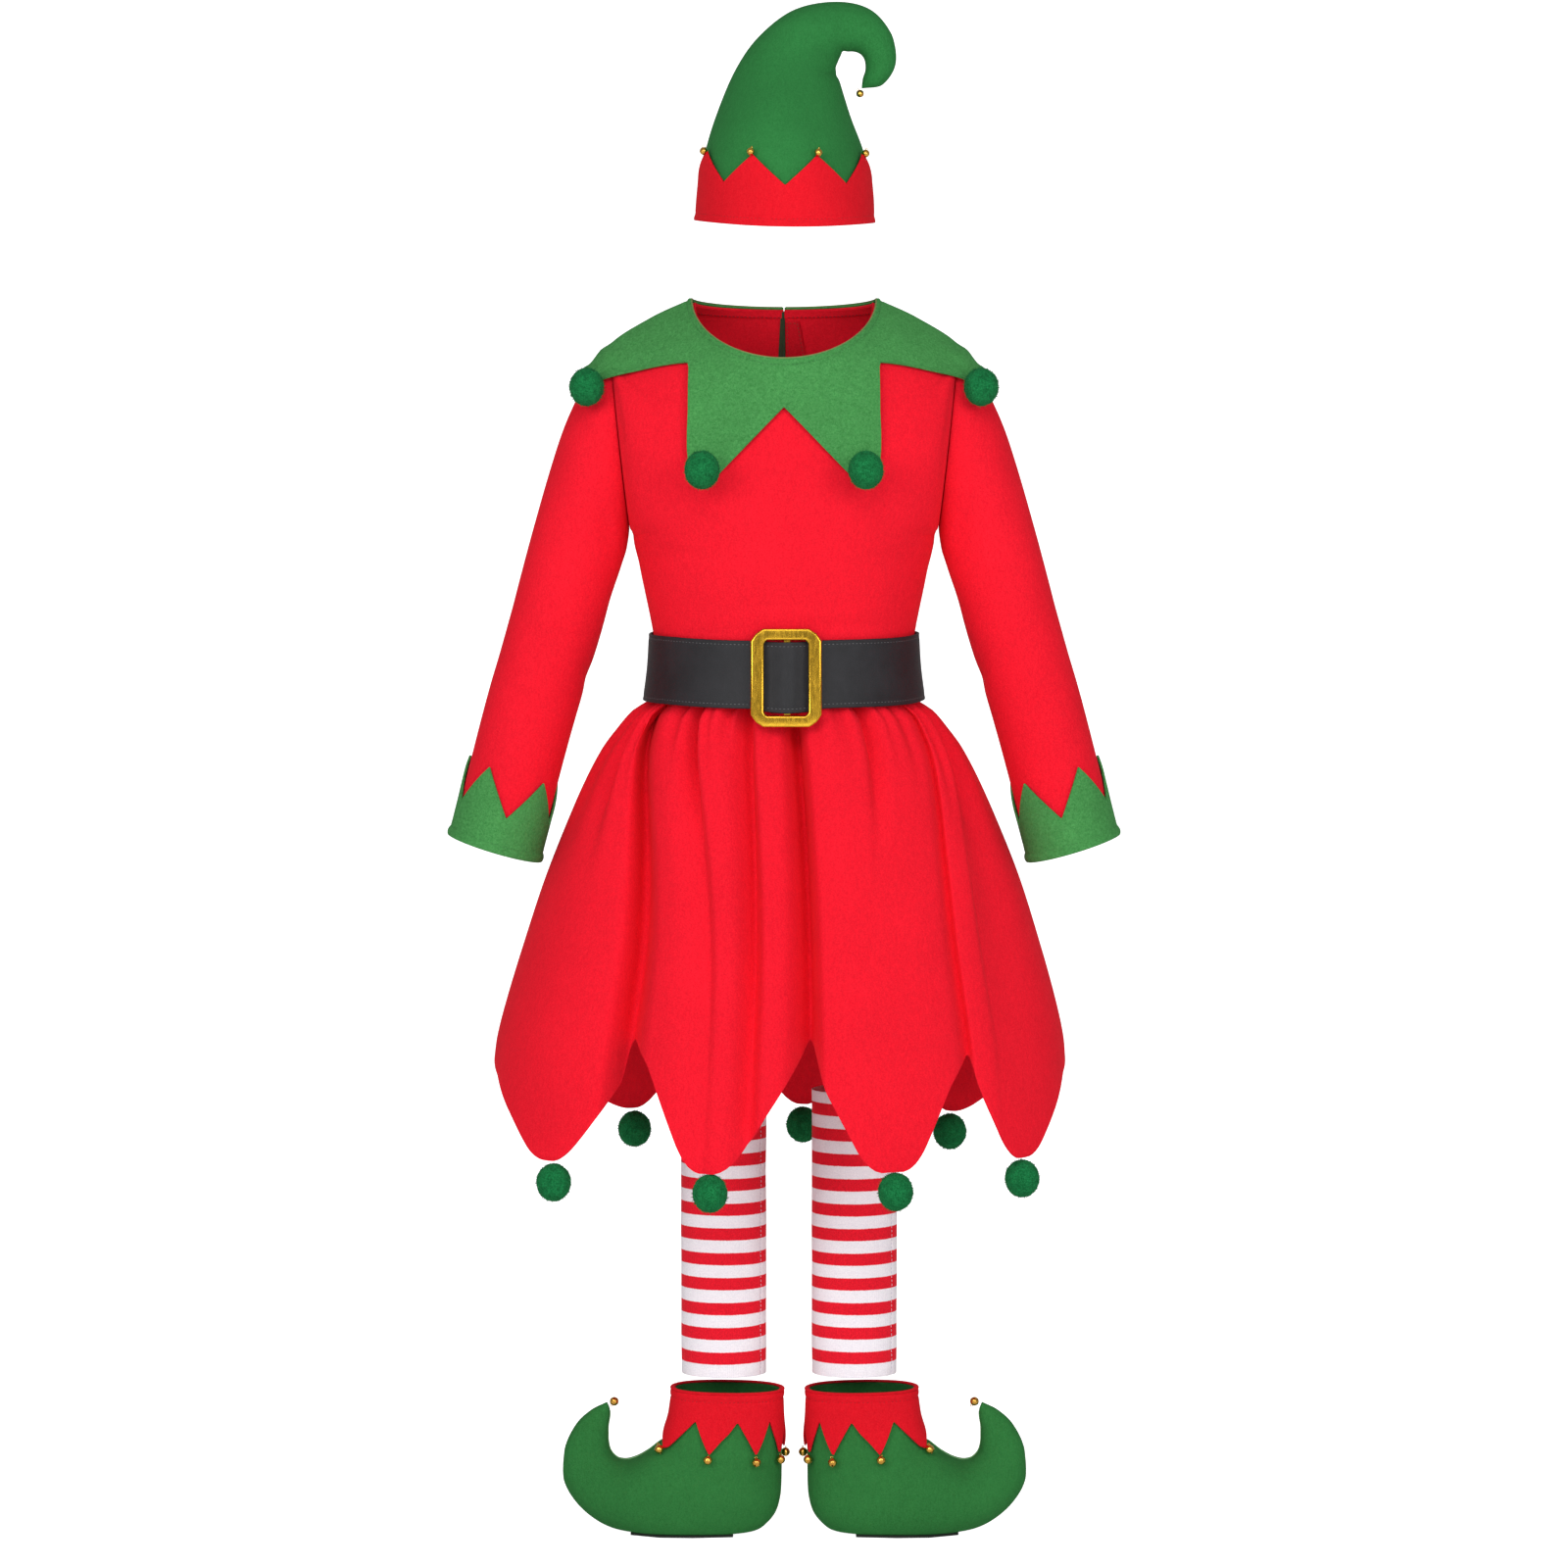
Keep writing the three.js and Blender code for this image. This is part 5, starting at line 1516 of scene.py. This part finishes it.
def make_bell_pattern():
    """A jingle bell of radius 1: two half shells with a rim, a slit below and a loop on top."""
    deselect()
    bpy.ops.mesh.primitive_uv_sphere_add(segments=24, ring_count=16, radius=0.97)
    shell = bpy.context.object
    bpy.ops.object.mode_set(mode="EDIT")
    bpy.ops.mesh.select_all(action="DESELECT")
    mesh = bmesh.from_edit_mesh(shell.data)
    for face in mesh.faces:
        middle = face.calc_center_median()
        face.select_set(abs(middle.x) < 0.11 and middle.z < -0.15)
    bmesh.update_edit_mesh(shell.data)
    bpy.ops.mesh.delete(type="FACE")
    mesh = bmesh.from_edit_mesh(shell.data)
    for vertex in mesh.verts:
        if abs(vertex.co.z) < 0.05:
            vertex.co.x *= 1.06
            vertex.co.y *= 1.06
    bmesh.update_edit_mesh(shell.data)
    bpy.ops.object.mode_set(mode="OBJECT")
    wall = shell.modifiers.new("Wall", "SOLIDIFY")
    wall.thickness = 0.09
    wall.offset = -1
    apply_modifiers(shell)
    deselect()
    bpy.ops.mesh.primitive_torus_add(
        major_radius=0.26, minor_radius=0.07, major_segments=16, minor_segments=8,
        location=(0, 0, 1.08), rotation=(math.pi / 2, 0, 0))
    loop = bpy.context.object
    bpy.ops.object.transform_apply(location=True, rotation=True, scale=True)
    select_only(shell, loop)
    bpy.ops.object.join()
    smooth_by_angle(shell, 50)
    return coat(shell, "bell_metal")


LEANING_BELLS = {"bell_hat_tip": -30, "bell_shoe_left_toe": -140, "bell_shoe_right_toe": -140}
SHOE_BELL_RADIUS = 3.8


def placed(middle, radius, tilt):
    return Matrix.Translation(middle) @ Matrix.Scale(radius, 4) @ Euler(tilt).to_matrix().to_4x4()


def make_bells(sizes):
    pattern = make_bell_pattern()
    nodes = sorted(name for name in frame["nodes"] if name.startswith("bell_"))
    for number, node in enumerate(nodes):
        middle, half = node_middle(node)
        tilt = (0.25 * math.sin(number), 0.2 * math.cos(2 * number), 1.1 * number)
        if node in LEANING_BELLS:
            tilt = (0.0, math.radians(LEANING_BELLS[node]), 0.4)
        sew(copy_piece(pattern, f"{node}_metal", placed(middle, max(half), tilt)), [node])
    for name in ("left", "right"):
        form = shoe_cuff_form(name)
        for number, turn in ((5, 245), (6, 300)):
            spot = metres(form.at(turn / 360, 1.09) + form.normal(turn / 360, 1.0) * 2.8)
            matrix = placed(spot, SHOE_BELL_RADIUS * MM, (0.2, 0.1 * number, number))
            sew(copy_piece(pattern, f"bell_shoe_{name}_{number + 1}_metal", matrix))
    bpy.data.objects.remove(pattern)


# Hat

HAT_CREASES = Table(
    "turn place halfTurn halfPlace depth",
    (60, 5.6, 36, 0.30, -2.2),
    (335, 5.1, 30, 0.26, -2.0),
    (20, 4.5, 30, 0.24, -1.6),
    (350, 6.3, 34, 0.26, -1.6),
    (110, 4.0, 30, 0.60, -1.8),
    (75, 2.9, 30, 0.35, -1.4),
    (140, 3.2, 26, 0.60, -1.5),
    (250, 3.8, 34, 0.60, -2.0),
    (300, 3.0, 30, 0.45, -1.4),
    (95, 7.0, 40, 0.4, -1.0),
)


def hat_form():
    on_ring, last = tube_form(HAT_RINGS, ("rightX", "rightZ", "leftX", "leftZ"))

    def at_ring(turn, place):
        forwards = max(0.0, math.sin(math.radians(turn)))
        return on_ring(turn, place) - Vector((0, 0, HAT_RIM_DIP * forwards**2 * max(0.0, 1 - place)))

    def at(u, v):
        turn, place = 360 * u, last * v
        point = at_ring(turn, place)
        radial = point - (at_ring(0, place) + at_ring(180, place)) / 2
        if radial.length > 1:
            point += radial.normalized() * crease_depth(HAT_CREASES, turn, place)
        return point

    return Form(at, around=True), at_ring, last


def band_rise(u):
    return zigzag(360 * u, HAT_BAND["points"], HAT_BAND["first"], HAT_BAND["tip"], HAT_BAND["valley"])


def make_hat(sizes):
    form, at_ring, last = hat_form()
    crown = cloth_piece("hat_crown_felt", form, 128, 170, sizes.felt_wall, "hat_felt")
    sew(crown, ["hat_crown"], (0.52, 0.33), 0.0860)

    def band_at(u, v):
        turn = 360 * u
        rise = band_rise(u) * v
        place = place_by_rise(at_ring, last, turn, rise)
        out = LYING_GAP + sizes.felt_wall / MM
        out += 0.7 * bump(rise - 1.5, 2.6) - 0.35 * bump(rise - HAT_BAND["stitch"], 1.0)
        waves = 0.5 * math.sin(math.radians(5 * turn)) * ease(5, 30, rise)
        out += 1.1 * ease(30, HAT_BAND["tip"], rise) + waves
        point = at_ring(turn, place)
        centre = (at_ring(0, place) + at_ring(180, place)) / 2
        return point + (point - centre).normalized() * out

    band_form = Form(band_at, around=True)
    band = cloth_piece("hat_band_felt", band_form, 256, 26, sizes.felt_wall, "red_felt")
    row = [(u, HAT_BAND["stitch"] / band_rise(u)) for u in shares(260)]
    thread = stitches("hat_band_stitches", band_form, row, "red_thread", lift=0.0, thick=0.5)
    sew(band, ["hat_band"], (0.52, 0.063), 0.0245,
        with_pieces=[thread])


# Stockings

def make_stockings(sizes):
    for name, x in STOCKINGS.items():
        def at(u, v, x=x):
            turn = math.radians(360 * u)
            z = mix(STOCKING_BOTTOM, STOCKING_TOP, v)
            away = (360 * u - STOCKING_SEAM_TURN + 180) % 360 - 180
            puckers = 0.28 * math.sin(z / 3.3 + u * 5) * bump(away, 9)
            soft = 0.5 * noise.noise(Vector((math.sin(turn) * 2, math.cos(turn) * 2, z / 40)))
            out = STOCKING_RADIUS - 0.7 * bump(away, 1.7) + puckers + soft
            return Vector((x + out * math.sin(turn), -STOCKING_FLATTENING * out * math.cos(turn), z))

        form = Form(at, around=True)
        tube = cloth_piece(f"stocking_{name}_knit", form, 180, 130, sizes.knit_wall, "striped_knit")
        seam = [(STOCKING_SEAM_TURN / 360, v) for v in shares(120, 0.004, 0.996)]
        thread = stitches(f"stocking_seam_{name}", form, seam, "white_thread", lift=0.25, thick=0.5)
        sew(tube, [f"stocking_{name}"], (0.196, 0.236), 0.046,
            with_pieces=[thread])


# Shoe covers

def shoe_ring(name):
    row = SHOES[name]
    at_ring, last = tube_form(
        SHOE_RINGS, ("toeU", "toeZ", "heelU", "heelZ"), squareness=SHOE_SQUARENESS, floor=SHOE_FLOOR)

    def at(turn, place, out=0.0):
        point = at_ring(turn, place, out)
        return Vector((row["ankleX"] + row["toeSide"] * point.x, point.y, point.z))

    return at, last


SHOE_CREASES = Table(
    "turn place halfTurn halfPlace depth",
    (35, 3.6, 30, 0.8, -1.3),
    (60, 5.2, 24, 1.0, -1.0),
    (325, 3.8, 30, 0.9, -1.3),
    (90, 7.5, 26, 0.7, -1.0),
    (140, 3.0, 24, 0.8, -1.2),
    (270, 6.8, 30, 0.8, -1.2),
    (30, 9.0, 26, 0.5, -0.9),
)


def shoe_side_form(name, start, end):
    ring, last = shoe_ring(name)

    def at(u, v):
        turn, place = mix(start, end, u), last * v
        point = ring(turn, place)
        radial = point - (ring(0, place) + ring(180, place)) / 2
        if radial.length > 1 and point.z > SHOE_FLOOR + 1:
            dip = crease_depth(SHOE_CREASES, turn, place)
            point += radial.normalized() * dip * clamp(radial.length / 20)
        point.y += 0.15 if start >= 180 else -0.15
        return point

    return Form(at)


def cuff_drop(u):
    turn = 360 * u % 360
    last = SHOE_CUFF_EDGE.places[-1]
    return SHOE_CUFF_EDGE.at("drop", turn - 360 if turn > last else turn, straight=True)


def shoe_cuff_form(name):
    ring, last = shoe_ring(name)

    def at(u, v):
        turn = 360 * u
        drop = cuff_drop(u) * v
        place = place_by_rise(ring, last, turn, drop)
        pressed = 0.6 * bump(drop - SHOE_CUFF_STITCH, 1.0)
        out = LYING_GAP + SHOE_CUFF_WALL + 0.7 * bump(drop - 2.0, 3.0) - pressed
        out += 1.6 * ease(18, 45, drop)
        return ring(turn, place, out)

    return Form(at, around=True)


def make_shoes(sizes):
    for name in SHOES:
        for half, start, end in (("front", 0, 180), ("back", 180, 360)):
            form = shoe_side_form(name, start, end)
            side = cloth_piece(f"shoe_{name}_{half}_felt", form, 90, 180, sizes.cloth_wall, "shoe_felt")
            sew(side, [f"shoe_{name}_side_{half}"], (0.30, 0.16), 0.0235)
        ring, last = shoe_ring(name)
        for seam, turn, first, end, count, across, lift in (
            ("toe", 0, 1.6, last - 0.2, 90, 2.6, 0.1),
            ("heel", 180, 0.1, 4.2, 50, 1.8, -0.1),
        ):
            ridge = [(ring(turn, place), (ring(turn, place) - ring(180 - turn, place)).normalized())
                     for place in shares(count, first, end)]
            sew(cord_strip(f"shoe_{name}_{seam}_seam", ridge, across, lift, "pale_seam"))
        cuff_form = shoe_cuff_form(name)
        cuff = cloth_piece(f"shoe_{name}_cuff_felt", cuff_form, 224, 34, SHOE_CUFF_FELT * MM, "red_felt")
        row = [(u, SHOE_CUFF_STITCH / cuff_drop(u)) for u in shares(230)]
        thread = stitches(f"shoe_cuff_stitches_{name}", cuff_form, row, "red_thread", lift=0.0, thick=0.45)
        rim = [(ring(360 * u, 0.03, 1.4) + Vector((0, 0, 1.4)), Vector((0, 0, 1))) for u in shares(120)]
        roll = cord_strip(f"shoe_{name}_rolled_rim", rim, 4.4, 0.2, "red_felt", sides=10)
        sew(cuff, [f"shoe_{name}_cuff"], (0.30, 0.052), 0.0105,
            with_pieces=[thread, roll])
        coat(frame["nodes"][f"shoe_{name}_sole"], "sole_sheet")


# Studio

CAMERA = {"distance": 4815.0, "height": 1100.0, "aim": 621.0, "lens": 136.09}
# Soft lamps in the frame's metres: place, side and power.
LAMPS = (
    ("key", (-1.8, -2.8, 0.7), 1.3, 33),
    ("fill", (1.8, -2.8, 0.6), 1.3, 30),
    ("top", (0.0, -2.4, 1.3), 1.4, 20),
    ("low", (0.0, -3.2, -0.9), 1.2, 9),
)
LAMP_AIM = Vector((0, 0, -0.35))
WORLD_LIGHT = 0.34


def face_towards(thing, place):
    thing.rotation_euler = (place - thing.location).to_track_quat("-Z", "Y").to_euler()


def make_stage():
    deselect()
    floor_z = -NECK_HEIGHT * MM
    bpy.ops.mesh.primitive_grid_add(x_subdivisions=4, y_subdivisions=48, size=1)
    sweep = bpy.context.object
    depth, bend, height, width, front = 12.5, 1.6, 3.6, 12, -5.0
    for vertex in sweep.data.vertices:
        along = (vertex.co.y + 0.5) * (depth + bend * math.pi / 2 + height)
        if along < depth:
            y, z = along, 0.0
        elif along < depth + bend * math.pi / 2:
            turn = (along - depth) / bend
            y, z = depth + bend * math.sin(turn), bend * (1 - math.cos(turn))
        else:
            y, z = depth + bend, bend + along - depth - bend * math.pi / 2
        vertex.co = Vector((vertex.co.x * width, y + front, z + floor_z - 0.2 * MM))
    settle_stage(sweep, "studio_sweep")
    for name, place, size, power in LAMPS:
        light = bpy.data.lights.new(name, "AREA")
        light.energy = power
        light.size = size
        lamp = bpy.data.objects.new(name, light)
        bpy.context.scene.collection.objects.link(lamp)
        lamp.location = place
        face_towards(lamp, LAMP_AIM)
    world = bpy.data.worlds.new("studio")
    bpy.context.scene.world = world
    world.use_nodes = True
    nodes, links = world.node_tree.nodes, world.node_tree.links
    give(nodes["Background"], Color=(*WHITE, 1))
    strength = nodes.new("ShaderNodeMapRange")      # white to the camera, softer as a light
    give(strength, To_Min=WORLD_LIGHT)
    links.new(nodes.new("ShaderNodeLightPath").outputs["Is Camera Ray"], strength.inputs["Value"])
    links.new(strength.outputs["Result"], nodes["Background"].inputs["Strength"])
    camera_data = bpy.data.cameras.new("camera")
    camera_data.lens = CAMERA["lens"]
    camera_data.sensor_width = 36
    camera_data.clip_end = 60
    camera = bpy.data.objects.new("camera", camera_data)
    bpy.context.scene.collection.objects.link(camera)
    camera.location = metres(Vector((0, -CAMERA["distance"], CAMERA["height"])))
    face_towards(camera, metres(Vector((0, 0, CAMERA["aim"]))))
    bpy.context.scene.camera = camera
    bpy.context.scene.view_settings.view_transform = "Standard"


def settle_stage(sweep, name):
    sweep.name = name
    m = Nodes("pale_sweep", roughness=0.9)
    soft = m.noise(3, detail=2)
    m.colour(m.ramp(soft, (0.90, 0.90, 0.90), (0.93, 0.93, 0.93)))
    give(m.shader, Emission_Color=(*WHITE, 1))
    seen = m.add("ShaderNodeLightPath").outputs["Is Camera Ray"]
    m.link(m.number(seen, 0.05, 1.0), m.shader.inputs["Emission Strength"])
    sweep.data.materials.append(m.material)
    smooth_by_angle(sweep, 60)


# Operators

class CostumeOperator:
    """Shared part of the operators: each makes one group of pieces from the scene's sizes."""

    bl_options = {"REGISTER", "UNDO"}
    maker = None

    def execute(self, context):
        type(self).maker(context.scene.costume_sizes)
        return {"FINISHED"}


class COSTUME_OT_dress_body(CostumeOperator, bpy.types.Operator):
    """Front and back bodice panels, neck hem and back closure"""
    bl_idname = "costume.dress_body"
    bl_label = "Bodice"
    maker = make_dress_body


class COSTUME_OT_sleeves(CostumeOperator, bpy.types.Operator):
    """Both sleeves and their pointed cuffs"""
    bl_idname = "costume.sleeves"
    bl_label = "Sleeves and cuffs"
    maker = make_sleeves


class COSTUME_OT_collar(CostumeOperator, bpy.types.Operator):
    """Pointed felt collar with its neck edge"""
    bl_idname = "costume.collar"
    bl_label = "Collar"
    maker = make_collar


class COSTUME_OT_skirt(CostumeOperator, bpy.types.Operator):
    """Gathered skirt front and back"""
    bl_idname = "costume.skirt"
    bl_label = "Skirt"
    maker = make_skirt


class COSTUME_OT_belt(CostumeOperator, bpy.types.Operator):
    """Leatherette strap with its stitching"""
    bl_idname = "costume.belt"
    bl_label = "Belt strap"
    maker = make_belt


class COSTUME_OT_buckle(CostumeOperator, bpy.types.Operator):
    """Gold buckle frame and bar"""
    bl_idname = "costume.buckle"
    bl_label = "Buckle"
    maker = make_buckle


class COSTUME_OT_pompoms(CostumeOperator, bpy.types.Operator):
    """Yarn pompoms of collar and skirt"""
    bl_idname = "costume.pompoms"
    bl_label = "Pompoms"
    maker = make_pompoms


class COSTUME_OT_hat(CostumeOperator, bpy.types.Operator):
    """Curled hat and its pointed band"""
    bl_idname = "costume.hat"
    bl_label = "Hat"
    maker = make_hat


class COSTUME_OT_stockings(CostumeOperator, bpy.types.Operator):
    """Striped stockings"""
    bl_idname = "costume.stockings"
    bl_label = "Stockings"
    maker = make_stockings


class COSTUME_OT_shoes(CostumeOperator, bpy.types.Operator):
    """Shoe covers with curled toes and pointed cuffs"""
    bl_idname = "costume.shoes"
    bl_label = "Shoe covers"
    maker = make_shoes


class COSTUME_OT_bells(CostumeOperator, bpy.types.Operator):
    """Jingle bells of hat and shoe covers"""
    bl_idname = "costume.bells"
    bl_label = "Bells"
    maker = make_bells


class COSTUME_OT_stage(bpy.types.Operator):
    """Pale studio sweep, soft lights and the camera"""
    bl_idname = "costume.stage"
    bl_label = "Studio"
    bl_options = {"REGISTER", "UNDO"}

    def execute(self, context):
        make_stage()
        return {"FINISHED"}


OPERATORS = (
    COSTUME_OT_dress_body, COSTUME_OT_sleeves, COSTUME_OT_collar, COSTUME_OT_skirt, COSTUME_OT_belt,
    COSTUME_OT_buckle, COSTUME_OT_pompoms, COSTUME_OT_hat, COSTUME_OT_stockings, COSTUME_OT_shoes,
    COSTUME_OT_bells, COSTUME_OT_stage,
)


class COSTUME_PT_panel(bpy.types.Panel):
    """Lists the costume's pieces, sizes and colours in the sidebar"""
    bl_idname = "COSTUME_PT_panel"
    bl_label = "Elf costume"
    bl_space_type = "VIEW_3D"
    bl_region_type = "UI"
    bl_category = "Costume"

    def draw(self, context):
        for operator in OPERATORS:
            self.layout.operator(operator.bl_idname)
        for group in (context.scene.costume_sizes, context.scene.costume_colours):
            for key in group.__annotations__:
                self.layout.prop(group, key)


CLASSES = (CostumeSizes, CostumeColours, *OPERATORS, COSTUME_PT_panel)


def register():
    for item in CLASSES:
        bpy.utils.register_class(item)
    bpy.types.Scene.costume_sizes = PointerProperty(type=CostumeSizes)
    bpy.types.Scene.costume_colours = PointerProperty(type=CostumeColours)


def unregister():
    del bpy.types.Scene.costume_colours
    del bpy.types.Scene.costume_sizes
    for item in reversed(CLASSES):
        bpy.utils.unregister_class(item)


def main():
    register()
    for operator in OPERATORS:
        group, name = operator.bl_idname.split(".")
        getattr(getattr(bpy.ops, group), name)()


if __name__ == "__main__":
    main()
